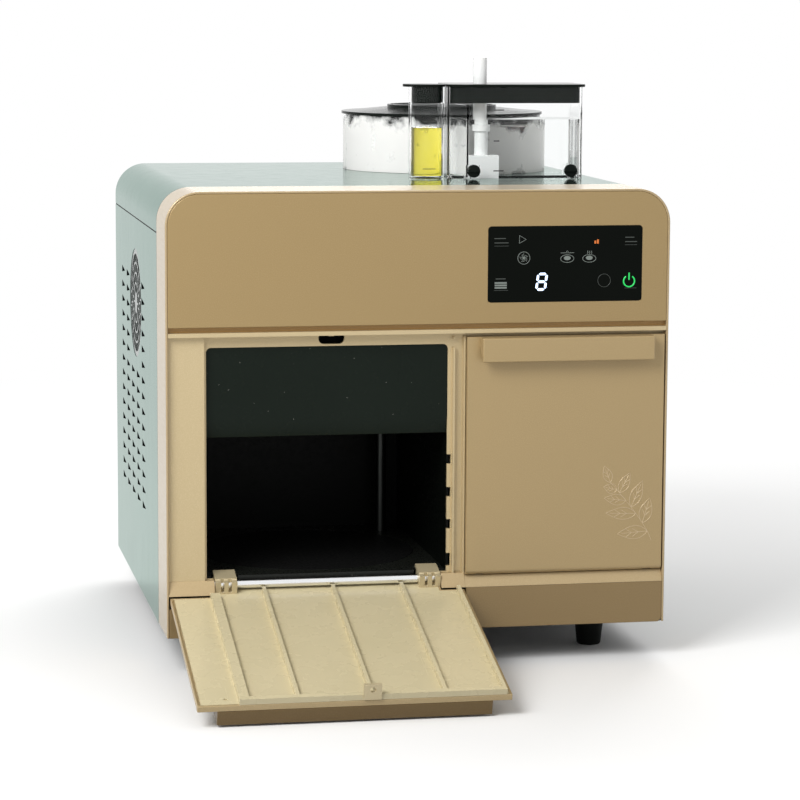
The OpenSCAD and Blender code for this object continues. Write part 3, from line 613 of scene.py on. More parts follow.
@dataclass(frozen=True)
class CircuitLacquer(Finish):
    """Green lacquer over copper tracks."""

    tone: Rgb = (0.02, 0.16, 0.07)
    track: Rgb = (0.05, 0.30, 0.13)

    def make(self) -> bpy.types.Material:
        """Makes the lacquer with square tracks under it.

        Returns:
            The material.
        """
        board = ShaderBoard(self.name)
        board.set(roughness=0.3, coat_weight=0.4)
        bricks = board.add("ShaderNodeTexBrick")
        bricks.inputs["Scale"].default_value = 120.0
        for key, grey in (("Color1", 0.0), ("Color2", 0.35), ("Mortar", 1.0)):
            bricks.inputs[key].default_value = (grey, grey, grey, 1.0)
        board.join(board.place(), bricks.inputs["Vector"])
        board.paint(board.blend(bricks.outputs["Fac"], self.tone, self.track))
        board.relief(bricks.outputs["Fac"], strength=0.2, depth=0.0001)
        return board.material


GOLD = SatinPaint("satin_gold", (0.335, 0.232, 0.098), (0.43, 0.31, 0.15))
GOLD_DOOR = SatinPaint("satin_gold_door", (0.40, 0.288, 0.138), (0.50, 0.375, 0.195))
FRAME_GOLD = SatinPaint("frame_gold", (0.42, 0.31, 0.165), (0.52, 0.40, 0.23), roughness=0.3, coat=0.5)
# Darker copy of the gold paint: painted shade on the low base fascia.
SHADED_LOW_GOLD = SatinPaint("satin_gold_low_painted_shade", (0.245, 0.165, 0.070), (0.33, 0.235, 0.108))
# Lighter copy of the gold paint: painted light on the sill strip.
LIT_SILL_GOLD = SatinPaint("satin_gold_sill_painted_light", (0.47, 0.35, 0.185), (0.56, 0.435, 0.25))
SKIN_GOLD = SatinPaint("satin_gold_skin", (0.44, 0.33, 0.172), (0.54, 0.415, 0.235))
PALE_GOLD = SatinPaint("pale_gold", (0.54, 0.43, 0.245), (0.64, 0.52, 0.32), dust=0.04)
ARM_GOLD = SatinPaint("arm_gold", (0.56, 0.47, 0.29), (0.66, 0.57, 0.38), roughness=0.32, metal=0.3)
DOOR_CREAM = MouldedPlastic(
    "door_cream",
    (0.63, 0.55, 0.35),
    (0.60, 0.525, 0.33),
    roughness=0.27,
    coat=0.2,
    grain=40.0,
    relief=0.05,
    dust=0.04,
    scratches=True,
)
# Brown copy of the gold paint: painted shade on the undercut below the fascia.
UNDERCUT_SHADE = SatinPaint("brown_trim", (0.32, 0.185, 0.055), (0.40, 0.25, 0.09), roughness=0.4, metal=0.3)
# Dark brown copy of the gold paint: painted shade on the open door's downward facing handle bar.
HANDLE_SHADE_GOLD = SatinPaint("handle_painted_shade", (0.135, 0.084, 0.027), (0.19, 0.125, 0.047), roughness=0.34)
SHELL = GlossShell("gloss_shell", (0.056, 0.070, 0.065), (0.032, 0.042, 0.039))
HOOD = MouldedPlastic(
    "hood_black",
    (0.0095, 0.0140, 0.0105),
    (0.008, 0.012, 0.009),
    roughness=0.25,
    grain=900.0,
    relief=0.03,
    dust=0.03,
    shine=0.07,
)
LID_BLACK = MouldedPlastic(
    "lid_black",
    (0.006, 0.0085, 0.007),
    (0.008, 0.011, 0.009),
    roughness=0.12,
    grain=900.0,
    relief=0.02,
    shine=0.06,
)
MATTE_BLACK = MouldedPlastic(
    "matte_black",
    (0.016, 0.017, 0.016),
    (0.022, 0.023, 0.022),
    roughness=0.5,
    grain=1400.0,
    relief=0.3,
    shine=0.3,
)
SHADOW_BLACK = MouldedPlastic(
    "shadow_black",
    (0.003, 0.003, 0.003),
    (0.004, 0.004, 0.004),
    roughness=0.6,
    grain=1400.0,
    relief=0.2,
    shine=0.1,
)
RUBBER = MouldedPlastic(
    "foot_rubber",
    (0.004, 0.005, 0.004),
    (0.007, 0.008, 0.007),
    roughness=0.62,
    grain=1800.0,
    relief=0.4,
    shine=0.1,
)
DISPLAY = MouldedPlastic(
    "display_black",
    (0.0022, 0.0032, 0.0022),
    (0.0028, 0.0038, 0.0028),
    roughness=0.08,
    grain=500.0,
    relief=0.01,
    shine=0.045,
)
WHITE = MouldedPlastic("white_plastic", (0.78, 0.78, 0.75), (0.72, 0.72, 0.69), roughness=0.35, coat=0.1)
TUBE_WHITE = MouldedPlastic("tube_white", (0.90, 0.91, 0.90), (0.86, 0.88, 0.87), roughness=0.25, coat=0.2)
GRILLE = SatinPaint("grille_metal", (0.135, 0.165, 0.150), (0.22, 0.255, 0.238), roughness=0.2, metal=0.85)
# Near black enamel: the liner's own dark colour, made darker still as painted shade of the deep chamber.
SHADED_ENAMEL = SpeckledCoat("chamber_enamel_painted_shade", (0.0022, 0.0028, 0.0022), (0.010, 0.011, 0.010), roughness=0.35)
TRAY_COAT = SpeckledCoat("tray_coat", (0.010, 0.011, 0.009), (0.04, 0.04, 0.037), 0.3, dust=0.02, shine=0.2)
NON_STICK = SpeckledCoat("non_stick", (0.006, 0.006, 0.006), (0.04, 0.04, 0.04), dust=0.01, shine=0.12)
STEEL = BrushedMetal("bare_steel", (0.60, 0.61, 0.62), (0.45, 0.46, 0.47))
ROD_STEEL = BrushedMetal("rod_steel", (0.055, 0.058, 0.055), (0.035, 0.037, 0.035), Grain.ALONG_Z, 0.3)
CHROME = BrushedMetal("rod_chrome", (0.86, 0.87, 0.88), (0.78, 0.79, 0.80), roughness=0.14, relief=0.04)
HEATER = BrushedMetal("heater_metal", (0.30, 0.20, 0.13), (0.20, 0.16, 0.14), Grain.ALONG_Z, 0.4)
ALLOY = BrushedMetal("cast_alloy", (0.42, 0.43, 0.45), (0.34, 0.35, 0.37), Grain.ALONG_Y, 0.45, relief=0.3)
BRASS = BrushedMetal("nut_brass", (0.55, 0.38, 0.12), (0.45, 0.30, 0.09), Grain.ALONG_Z, 0.25)
MOTOR = MouldedPlastic("motor_grey", (0.07, 0.075, 0.08), (0.05, 0.055, 0.06))
BOARD = CircuitLacquer("circuit_board")
CLEAR = ClearPlastic("clear_wall")
CLEAR_POWDER = ClearPlastic("clear_wall_flour", powder=0.95, powder_low=0.431, powder_high=0.449)
CLEAR_CUP = ClearPlastic("clear_cup", roughness=0.04)
WATER = Liquid("water", (0.99, 0.997, 0.995), (0.97, 0.985, 0.98))
OIL = Liquid("oil", (0.975, 0.885, 0.15), (0.96, 0.82, 0.06), bending=1.4)
FLOUR = Powder("flour")
PRINT = MouldedPlastic("scale_print", (0.03, 0.03, 0.03), (0.05, 0.05, 0.05), roughness=0.5)
MOTIF = SatinPaint("door_motif", (0.60, 0.47, 0.295), (0.68, 0.55, 0.36), roughness=0.3, metal=0.3)
DIGIT = Glow("digit_glow", (0.62, 0.76, 1.0), 1.5)
GREEN = Glow("power_glow", (0.012, 0.42, 0.08), 0.9)
AMBER = Glow("signal_glow", (0.45, 0.11, 0.015), 0.7)
FAINT = Glow("faint_mark", (0.14, 0.16, 0.145), 0.35)
DIM = Glow("dim_mark", (0.035, 0.042, 0.036), 0.35)


class Shelf:
    """Keeps one material for each finish."""

    _made: dict[Finish, bpy.types.Material] = {}

    @classmethod
    def coat(cls, mesh: bpy.types.Mesh, finish: Finish) -> None:
        """Gives a mesh the finish's material, made on first use.

        Args:
            mesh: Mesh to coat.
            finish: Finish it gets.
        """
        if finish not in cls._made:
            cls._made[finish] = finish.make()
        mesh.materials.clear()
        mesh.materials.append(cls._made[finish])


class Bench:
    """Hand tools that start, shape and finish one mesh through Blender's operators."""

    @staticmethod
    def clear() -> None:
        """Leaves edit mode and deselects everything."""
        if bpy.context.mode != "OBJECT":
            bpy.ops.object.mode_set(mode="OBJECT")
        bpy.ops.object.select_all(action="DESELECT")

    @staticmethod
    def pick(piece: Piece) -> None:
        """Makes a piece the only selected and active one.

        Args:
            piece: Piece to select.
        """
        Bench.clear()
        piece.select_set(True)
        bpy.context.view_layer.objects.active = piece

    @staticmethod
    def settle(piece: Piece, name: str) -> Piece:
        """Names a piece and moves its place into its mesh.

        Args:
            piece: Piece to settle.
            name: Its name.

        Returns:
            The same piece.
        """
        piece.name = name
        piece.data.name = name
        Bench.pick(piece)
        bpy.ops.object.transform_apply(location=True, rotation=True, scale=True)
        return piece

    @staticmethod
    def box(name: str, low: Point, high: Point) -> Piece:
        """Starts a block between two corners.

        Args:
            name: Name of the piece.
            low: Lowest corner in millimetres.
            high: Highest corner in millimetres.

        Returns:
            The block.
        """
        Bench.clear()
        middle = [(a + b) / 2 * MM for a, b in zip(low, high)]
        bpy.ops.mesh.primitive_cube_add(size=1.0, location=middle)
        block = bpy.context.active_object
        block.scale = [(b - a) * MM for a, b in zip(low, high)]
        return Bench.settle(block, name)

    @staticmethod
    def rod(name: str, start: Point, axis: Point, length: float, radius: float, sides: int = 48) -> Piece:
        """Starts a round bar.

        Args:
            name: Name of the piece.
            start: Middle of its first end in millimetres.
            axis: Direction it runs in.
            length: Length in millimetres.
            radius: Radius in millimetres.
            sides: Number of sides.

        Returns:
            The bar.
        """
        Bench.clear()
        way = Vector(axis).normalized()
        middle = (Vector(start) + way * (length / 2)) * MM
        bpy.ops.mesh.primitive_cylinder_add(
            vertices=sides, radius=radius * MM, depth=length * MM, location=middle
        )
        bar = bpy.context.active_object
        bar.rotation_mode = "QUATERNION"
        bar.rotation_quaternion = way.to_track_quat("Z", "Y")
        return Bench.settle(bar, name)

    @staticmethod
    def raise_plate(name: str, outline: list[Point], rise: Point) -> Piece:
        """Raises a flat outline into a plate.

        Args:
            name: Name of the piece.
            outline: Corners in millimetres.
            rise: How far and which way it rises, in millimetres.

        Returns:
            The plate.
        """
        Bench.clear()
        bpy.ops.mesh.primitive_circle_add(vertices=len(outline), radius=1.0, fill_type="NGON")
        plate = bpy.context.active_object
        for vertex, corner in zip(plate.data.vertices, outline):
            vertex.co = metres(corner)
        bpy.ops.object.mode_set(mode="EDIT")
        bpy.ops.mesh.select_all(action="SELECT")
        bpy.ops.mesh.extrude_region_move(TRANSFORM_OT_translate={"value": metres(rise)})
        bpy.ops.mesh.select_all(action="SELECT")
        bpy.ops.mesh.normals_make_consistent(inside=False)
        bpy.ops.object.mode_set(mode="OBJECT")
        return Bench.settle(plate, name)

    @staticmethod
    def slab(name: str, outline: list[Flat], front: float, thickness: float) -> Piece:
        """Raises a plate that faces the front.

        Args:
            name: Name of the piece.
            outline: Corners as X and Z in millimetres.
            front: Y of its front face in millimetres.
            thickness: Thickness in millimetres.

        Returns:
            The plate.
        """
        corners = [(x, front + thickness, z) for x, z in outline]
        return Bench.raise_plate(name, corners, (0.0, -thickness, 0.0))

    @staticmethod
    def wire(name: str, strokes: list[list[Point]], radius: float) -> Piece:
        """Draws fine round lines through points and makes them one mesh.

        Args:
            name: Name of the piece.
            strokes: Lines, each a list of points in millimetres.
            radius: Radius of the lines in millimetres.

        Returns:
            The lines as a mesh.
        """
        Bench.clear()
        curve = bpy.data.curves.new(name, "CURVE")
        curve.dimensions = "3D"
        curve.bevel_depth = radius * MM
        curve.bevel_resolution = 1
        curve.use_fill_caps = True
        for points in strokes:
            spline = curve.splines.new("POLY")
            spline.points.add(len(points) - 1)
            for target, point in zip(spline.points, points):
                target.co = (*metres(point), 1.0)
        lines = bpy.data.objects.new(name, curve)
        bpy.context.scene.collection.objects.link(lines)
        Bench.pick(lines)
        bpy.ops.object.convert(target="MESH")
        return Bench.settle(bpy.context.active_object, name)

    @staticmethod
    def edit(piece: Piece) -> None:
        """Opens a piece in edit mode with everything selected.

        Args:
            piece: Piece to open.
        """
        Bench.pick(piece)
        bpy.ops.object.mode_set(mode="EDIT")
        bpy.ops.mesh.select_all(action="SELECT")

    @staticmethod
    def choose(piece: Piece, kind: str, chosen: Callable[[object], bool]) -> None:
        """Selects some corners or faces and opens edit mode.

        Args:
            piece: Piece to work on.
            kind: VERT or FACE.
            chosen: Tells which ones are selected.
        """
        Bench.edit(piece)
        bpy.ops.mesh.select_mode(type=kind)
        bpy.ops.mesh.select_all(action="DESELECT")
        bpy.ops.object.mode_set(mode="OBJECT")
        for item in piece.data.vertices if kind == "VERT" else piece.data.polygons:
            item.select = chosen(item)
        bpy.ops.object.mode_set(mode="EDIT")

    @staticmethod
    def select_faces(piece: Piece, normal: Point, above: float = 0.9, corners: int = 3) -> None:
        """Selects the faces that look one way and opens edit mode.

        Args:
            piece: Piece to work on.
            normal: Direction the faces look in.
            above: Least match with that direction.
            corners: Least number of corners of a face.
        """

        def looks_there(face: bpy.types.MeshPolygon) -> bool:
            """Tells whether a face looks that way and has corners enough."""
            return face.normal.dot(Vector(normal)) > above and len(face.vertices) >= corners

        Bench.choose(piece, "FACE", looks_there)

    @staticmethod
    def sink(piece: Piece, normal: Point, margin: float, depth: float) -> None:
        """Insets the faces that look one way and moves them in.

        Args:
            piece: Piece to work on.
            normal: Direction the faces look in.
            margin: Width of the rim in millimetres.
            depth: How far they go in, in millimetres.
        """
        Bench.select_faces(piece, normal)
        bpy.ops.mesh.inset(thickness=margin * MM)
        bpy.ops.transform.translate(value=Vector(normal) * (-depth * MM))
        bpy.ops.object.mode_set(mode="OBJECT")

    @staticmethod
    def shift_corners(piece: Piece, low: Point, high: Point, move: Point) -> None:
        """Moves the corners of a mesh that lie in a box.

        Args:
            piece: Piece to work on.
            low: Lowest corner of the box in millimetres.
            high: Highest corner of the box in millimetres.
            move: Distance in millimetres.
        """

        def lies_inside(corner: bpy.types.MeshVertex) -> bool:
            """Tells whether a corner lies in the box."""
            return all(a * MM < c < b * MM for a, c, b in zip(low, corner.co, high))

        Bench.choose(piece, "VERT", lies_inside)
        bpy.ops.transform.translate(value=metres(move))
        bpy.ops.mesh.select_mode(type="FACE")
        bpy.ops.object.mode_set(mode="OBJECT")

    @staticmethod
    def modify(piece: Piece, kind: str, **settings: object) -> None:
        """Adds a modifier, sets it up and applies it.

        Args:
            piece: Piece to work on.
            kind: Type name of the modifier.
            **settings: Properties to set on it.
        """
        Bench.pick(piece)
        bpy.ops.object.modifier_add(type=kind)
        modifier = piece.modifiers[-1]
        for key, value in settings.items():
            setattr(modifier, key, value)
        bpy.ops.object.modifier_apply(modifier=modifier.name)

    @staticmethod
    def round_off(piece: Piece, width: float, segments: int = 2, angle: float = 32.0) -> None:
        """Rounds the sharp edges and smooths the shading.

        Args:
            piece: Piece to work on.
            width: Width of the rounding in millimetres.
            segments: Faces across it.
            angle: Least angle of an edge that is rounded, in degrees.
        """
        limit = math.radians(angle)
        Bench.modify(
            piece, "BEVEL", width=width * MM, segments=segments, limit_method="ANGLE", angle_limit=limit
        )
        Bench.smooth(piece)

    @staticmethod
    def smooth(piece: Piece, angle: float = 40.0) -> None:
        """Shades a piece smooth with its flat faces kept flat.

        Args:
            piece: Piece to work on.
            angle: Least angle of an edge that stays sharp, in degrees.
        """
        Bench.pick(piece)
        bpy.ops.object.shade_smooth_by_angle(angle=math.radians(angle))
        Bench.modify(piece, "WEIGHTED_NORMAL", keep_sharp=True)

    @staticmethod
    def melt(name: str, pieces: list[Piece]) -> Piece:
        """Joins pieces into one.

        Args:
            name: Name of the joined piece.
            pieces: Pieces to join.

        Returns:
            The joined piece.
        """
        Bench.clear()
        for piece in pieces:
            piece.select_set(True)
        bpy.context.view_layer.objects.active = pieces[0]
        bpy.ops.object.join()
        return Bench.settle(bpy.context.active_object, name)

    @staticmethod
    def copy_of(node: str, name: str) -> Piece:
        """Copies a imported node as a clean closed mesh.

        Args:
            node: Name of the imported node.
            name: Name of the copy.

        Returns:
            The copy, with doubles merged and flat faces made whole.
        """
        Bench.clear()
        mesh = frame["nodes"][node].data.copy()
        copy = bpy.data.objects.new(name, mesh)
        bpy.context.scene.collection.objects.link(copy)
        mesh.name = name
        Bench.edit(copy)
        bpy.ops.mesh.remove_doubles(threshold=MERGE_REACH)
        bpy.ops.mesh.dissolve_limited(angle_limit=math.radians(FLAT_ANGLE))
        bpy.ops.object.mode_set(mode="OBJECT")
        if mesh.has_custom_normals:
            bpy.ops.mesh.customdata_custom_splitnormals_clear()
        return copy


@dataclass
class Assembly:
    """A sub-assembly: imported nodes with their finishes, and pieces of its own."""

    def dress(self, finish: Finish, *nodes: str) -> None:
        """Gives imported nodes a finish.

        Args:
            finish: Finish they get.
            *nodes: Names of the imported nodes.
        """
        for node in nodes:
            Shelf.coat(frame["nodes"][node].data, finish)
            LOG.info("dressed %s in %s", node, finish.name)

    def soften(self, node: str, finish: Finish, width: float, segments: int = 2) -> Piece:
        """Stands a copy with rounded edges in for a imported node.

        Args:
            node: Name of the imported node.
            finish: Finish of the copy.
            width: Width of the rounding in millimetres.
            segments: Faces across it.

        Returns:
            The copy.
        """
        copy = Bench.copy_of(node, f"{node}_moulding")
        Bench.round_off(copy, width, segments)
        Shelf.coat(copy.data, finish)
        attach(copy, frame["nodes"][node]["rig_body"])
        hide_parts(node)
        self.dress(finish, node)
        LOG.info("rounded %s by %.1f mm", node, width)
        return copy

    def fit(self, piece: Piece, body: Body, slot: Slot, finish: Finish) -> None:
        """Dresses a new piece and lets it ride on a body.

        Args:
            piece: New piece.
            body: Body it rides on.
            slot: Material slot it belongs to; not used.
            finish: Its finish.
        """
        Shelf.coat(piece.data, finish)
        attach(piece, body.value)
        LOG.info("fitted %s on %s", piece.name, body.value)

    def build(self) -> None:
        """Builds and dresses the sub-assembly."""
        raise NotImplementedError


@dataclass
class FrontPanel(Assembly):
    """Gold front moulding, control panel, inner plate and lower bands."""

    def build(self) -> None:
        """Rounds the gold mouldings and finishes the trim below the panel."""
        self.soften("front_frame", FRAME_GOLD, 0.9, 3)
        self.soften("control_fascia", GOLD, 0.7, 3)
        self.soften("front_bezel", PALE_GOLD, 0.35)
        # The base fascia takes the darker gold copy: painted shade.
        self.soften("base_fascia", SHADED_LOW_GOLD, 0.7)
        # The sill strip takes the lighter gold copy: painted light.
        self.soften("sill_strip", LIT_SILL_GOLD, 0.6)
        # The fascia undercut takes the brown gold copy: painted shade.
        self.dress(UNDERCUT_SHADE, "fascia_undercut")
        self.dress(BOARD, "control_board")
        self.dress(SHADOW_BLACK, "latch_catch")


@dataclass
class TouchDisplay(Assembly):
    """Black glass with its lit marks, all in front of the glass.

    Places of marks are measured from the middle of the glass.
    """

    centre: Flat = (121.0, 334.0)
    face: float = -210.12
    print_depth: float = 0.04
    pane: Box = (55.4, 303.2, 186.2, 366.0)
    pane_corner: float = 3.0
    pane_depth: float = 0.2
    pane_edge: float = 0.08
    digit_box: Box = (-24.6, -20.4, -17.4, -7.6)
    digit_slant: float = 0.12
    bar_half: float = 1.0
    bar_gap: float = 0.5
    bar_taper: float = 1.5
    fan_hub: Flat = (-35.4, 5.7)
    fan_radius: float = 5.1
    fan_blades: int = 5
    pans: Flat = (1.3, 20.0)
    timer: Flat = (32.9, -13.6)
    power: Flat = (54.2, -14.4)
    fields: Flat = (-60.3, 50.4)

    def raised(self, name: str, outline: list[Flat]) -> Piece:
        """Raises one flat mark on the glass.

        Args:
            name: Name of the mark.
            outline: Corners from the middle of the glass.

        Returns:
            The mark.
        """
        moved = [(x + self.centre[0], z + self.centre[1]) for x, z in outline]
        return Bench.slab(name, moved, self.face - self.print_depth, self.print_depth)

    def show(self, mark: Piece, finish: Finish) -> None:
        """Dresses a mark and keeps it on the housing."""
        self.fit(mark, Body.HOUSING, Slot.DISPLAY, finish)

    def bars(self, name: str, spans: list[Box], finish: Finish) -> None:
        """Fits a group of upright rectangles.

        Args:
            name: Name of the group.
            spans: Left, low, right and high side of each.
            finish: Their finish.
        """
        parts = []
        for i, (left, low, right, high) in enumerate(spans):
            corners = [(left, low), (right, low), (right, high), (left, high)]
            parts.append(self.raised(f"{name}_{i}", corners))
        self.show(Bench.melt(name, parts), finish)

    def lines(self, name: str, strokes: list[list[Flat]], width: float, finish: Finish) -> None:
        """Fits fine drawn lines.

        Args:
            name: Name of the mark.
            strokes: Lines from the middle of the glass.
            width: Width of a line.
            finish: Its finish.
        """
        right, up = self.centre
        placed = [[(x + right, self.face, z + up) for x, z in stroke] for stroke in strokes]
        self.show(Bench.wire(name, placed, width / 2), finish)

    @staticmethod
    def arc(centre: Flat, radius: float, start: float, end: float, steps: int = 24) -> list[Flat]:
        """Finds points along an arc.

        Args:
            centre: Middle of the arc.
            radius: Its radius.
            start: First angle in degrees.
            end: Last angle in degrees.
            steps: Number of pieces.

        Returns:
            The points.
        """
        turns = [math.radians(start + (end - start) * i / steps) for i in range(steps + 1)]
        return [around(centre, (radius, radius), turn) for turn in turns]

    def cover(self) -> None:
        """Lays the thin printed pane with round corners over the glass and its gap."""
        left, low, right, high = self.pane
        r = self.pane_corner
        corners = ((right - r, high - r), (left + r, high - r), (left + r, low + r), (right - r, low + r))
        outline = []
        for i, corner in enumerate(corners):
            outline += self.arc(corner, r, 90 * i, 90 * i + 90, 8)
        pane = Bench.slab("display_pane", outline, self.face, self.pane_depth)
        Bench.round_off(pane, self.pane_edge)
        self.show(pane, DISPLAY)

    def bar(self, start: Flat, along: Flat) -> list[Flat]:
        """Outlines one bar of the digit, pointed at both ends.

        Args:
            start: Where it starts.
            along: How far it runs to the right or up.

        Returns:
            Its six corners.
        """
        length = along[0] + along[1]
        outline = []
        for share, side in (
            (self.bar_gap, 0.0),
            (self.bar_taper, -self.bar_half),
            (length - self.bar_taper, -self.bar_half),
            (length - self.bar_gap, 0.0),
            (length - self.bar_taper, self.bar_half),
            (self.bar_taper, self.bar_half),
        ):
            if along[0]:
                outline.append((start[0] + share, start[1] + side))
            else:
                outline.append((start[0] - side, start[1] + share))
        return outline

    def digit(self) -> None:
        """Builds the slanted seven bar digit."""
        left, low, right, high = self.digit_box
        middle = (low + high) / 2
        outlines = [self.bar((left, z), (right - left, 0.0)) for z in (low, middle, high)]
        outlines += [self.bar((x, z), (0.0, middle - low)) for x in (left, right) for z in (low, middle)]
        made = []
        for i, outline in enumerate(outlines):
            slanted = [(x + self.digit_slant * (z - low), z) for x, z in outline]
            made.append(self.raised(f"digit_bar_{i}", slanted))
        self.show(Bench.melt("digit_bars", made), DIGIT)

    def fan(self) -> None:
        """Draws a fan wheel in a ring."""
        hub = self.fan_hub
        strokes = [self.arc(hub, self.fan_radius, 0, 360)]
        for i in range(self.fan_blades):
            way = math.radians(360 / self.fan_blades * i + 20)
            strokes.append([hub, around(hub, (2.6, 2.6), way + 0.7), around(hub, (3.7, 3.7), way), hub])
        self.lines("fan_mark", strokes, 0.5, FAINT)

    def breads(self) -> None:
        """Draws two pans with a bread each, one under a lifted lid and one with steam."""
        strokes, outlines = [], []
        for x in self.pans:
            strokes.append([around((x, 4.8), (5.6, 3.2), math.tau * i / 28) for i in range(29)])
            outlines.append([around((x, 5.3), (2.9, 1.8), math.tau * i / 20) for i in range(20)])
        lid, steam = self.pans
        for wisp in (-1.7, 0.0, 1.7):
            x = steam + wisp
            strokes.append([(x, 8.6), (x + 0.5, 9.4), (x, 10.2), (x + 0.5, 11.0)])
        strokes += [[(lid - 5.7, 9.6), (lid + 5.7, 9.6)], [(lid - 0.9, 10.4), (lid, 11.4), (lid + 0.9, 10.4)]]
        self.lines("pan_marks", strokes, 0.5, FAINT)
        for i, outline in enumerate(outlines):
            self.show(self.raised(f"bread_mark_{i}", outline), FAINT)

    def build(self) -> None:
        """Builds the glass and all its marks."""
        self.soften("display_glass", DISPLAY, 0.5, 3)
        self.cover()
        self.digit()
        play = [(-39.2, 24.3), (-39.2, 17.8), (-33.6, 21.0), (-39.2, 24.3), (-39.2, 17.8)]
        self.lines("start_mark", [play], 0.7, FAINT)
        near, far = self.fields
        rows = []
        for left, right in ((near, -48.4), (far, 60.6)):
            rows += [(left, 21.6, right - 2.4, 22.3), (left, 18.0, right, 18.7), (left, 15.6, right, 15.9)]
        rows += [(-59.0, -11.6, -50.6, -10.9), (near, -20.9, -48.4, -20.6), (far, -20.3, 60.6, -20.0)]
        self.bars("touch_field_bars", rows, DIM)
        self.bars("signal_bars", [(24.2, 17.0, 25.7, 19.4), (26.3, 17.0, 27.9, 20.4)], AMBER)
        self.fan()
        self.breads()
        layers = [(-59.8, -15.3 - 2.0 * i, -49.6, -13.9 - 2.0 * i) for i in range(3)]
        self.bars("layer_bars", layers, FAINT)
        self.lines("timer_mark", [self.arc(self.timer, 5.4, 0, 360)], 0.4, DIM)
        x, z = self.power
        power = [self.arc(self.power, 4.7, 125, 415, 30), [(x, z + 1.0), (x, z + 7.0)]]
        self.lines("power_mark", power, 1.3, GREEN)


@dataclass
class OuterShell(Assembly):
    """Gloss top and sides, vents, rear wall and feet."""

    side: float = 210.0
    back: float = 210.0
    seam: Flat = (357.7, 359.05)
    seam_run: Flat = (-145.5, 206.0)
    seam_skin: Flat = (0.8, 0.07)
    seam_edge: float = 0.08
    groove: Flat = (358.05, 358.5)
    groove_run: Flat = (-300.0, 300.0)
    groove_skin: Flat = (0.25, -0.1)
    groove_rise: float = 1.0
    screw_side: float = 196.0
    screw_heights: Point = (44.0, 200.0, 345.0)
    screw_radius: float = 3.6
    screw_head: float = 1.6
    screw_dome: float = 0.7
    cross: Point = (2.2, 0.35, 0.6)
    cross_depth: float = 0.1

    def screw(self, name: str, place: Point) -> Piece:
        """Models a domed cross-head screw in the rear wall.

        Args:
            name: Name of the screw.
            place: Middle of its seat in millimetres.

        Returns:
            The screw.
        """
        way = Vector((0.0, 1.0, 0.0))
        head = Bench.rod(name, place, way, self.screw_head, self.screw_radius, 24)
        Bench.round_off(head, self.screw_dome, 3)
        arm = way.orthogonal().normalized()
        for turn in (0.0, math.pi / 2):
            side = Matrix.Rotation(turn, 3, way) @ arm
            cutter = Bench.box("cross_cut", tuple(-c for c in self.cross), self.cross)
            basis = Matrix((side, way.cross(side), way)).transposed().to_4x4()
            middle = Vector(place) + way * (self.screw_head - self.cross_depth)
            cutter.matrix_world = Matrix.Translation(middle * MM) @ basis
            Bench.modify(head, "BOOLEAN", object=cutter, operation="DIFFERENCE")
            bpy.data.objects.remove(cutter)
        return head

    def lift_edges(self) -> None:
        """Rounds the cover and lifts its lower side edges by the width of a groove."""
        cover = self.soften("top_cover", SHELL, 0.5)
        for way in (-1, 1):
            span = sorted(way * (self.side - depth) for depth in self.groove_skin)
            low, high = zip(span, self.groove_run, self.groove)
            Bench.shift_corners(cover, low, high, (0.0, 0.0, self.groove_rise))

    def seams(self) -> None:
        """Lays a dark strip in each groove, painted shade that stands in for the groove's shadow."""
        strips = []
        for way in (-1, 1):
            span = sorted(way * (self.side - depth) for depth in self.seam_skin)
            low, high = zip(span, self.seam_run, self.seam)
            strips.append(Bench.box(f"seam_{way}", low, high))
            Bench.round_off(strips[-1], self.seam_edge)
        self.fit(Bench.melt("cover_seam_shade", strips), Body.HOUSING, Slot.BLACK_MATTE, SHADOW_BLACK)

    def build(self) -> None:
        """Dresses the shell and sets its seams and rear screws."""
        self.lift_edges()
        self.dress(SHELL, "left_side_panel", "right_side_panel")
        self.dress(GRILLE, "round_grille")
        self.dress(MATTE_BLACK, "rear_panel", "base_pan", "fan_frame", "fan_rotor")
        self.soften("feet", RUBBER, 0.5)
        self.soften("power_inlet", MATTE_BLACK, 0.4)
        self.soften("power_rocker", LID_BLACK, 0.4)
        self.dress(BOARD, "power_board")
        self.seams()
        places = [(x, z) for x in (-self.screw_side, self.screw_side) for z in self.screw_heights]
        heads = [self.screw(f"rear_screw_{i}", (x, self.back, z)) for i, (x, z) in enumerate(places)]
        self.fit(Bench.melt("rear_screws", heads), Body.HOUSING, Slot.STEEL, STEEL)


@dataclass
class BakingChamber(Assembly):
    """Dark chamber with its hood, tray, plates, press and rod."""

    def build(self) -> None:
        """Dresses the chamber and its press."""
        # The liner's enamel carries painted shade of the chamber on top of its own black.
        self.dress(SHADED_ENAMEL, "cavity_liner")
        self.soften("cavity_visor", HOOD, 0.5)
        self.soften("discharge_tray", TRAY_COAT, 0.4)
        self.soften("lower_hot_plate", NON_STICK, 0.5)
        self.soften("upper_hot_plate", NON_STICK, 0.5)
        self.dress(HEATER, "lower_heater", "upper_heater")
        self.dress(STEEL, "press_bridge", "press_screw")
        self.dress(ROD_STEEL, "guide_rods")
        self.dress(ALLOY, "press_gearbox")
        self.dress(MOTOR, "press_motor")
        self.dress(BRASS, "drive_nut")
        self.soften("press_head", ALLOY, 0.8)
        self.soften("hinge_rod", CHROME, 0.4)


@dataclass
class DischargeDoor(Assembly):
    """Open ribbed door with its handle bar, arms and latch tab."""

    def build(self) -> None:
        """Rounds the door's mouldings."""
        self.soften("left_door_skin", SKIN_GOLD, 0.6, 3)
        self.soften("left_door_liner", DOOR_CREAM, 0.5)
        # The handle bar takes the dark brown gold copy: painted shade.
        self.soften("left_door_handle", HANDLE_SHADE_GOLD, 0.8, 3)
        self.soften("left_hinge_arms", ARM_GOLD, 0.45)
        self.soften("left_latch_tab", ARM_GOLD, 0.5)


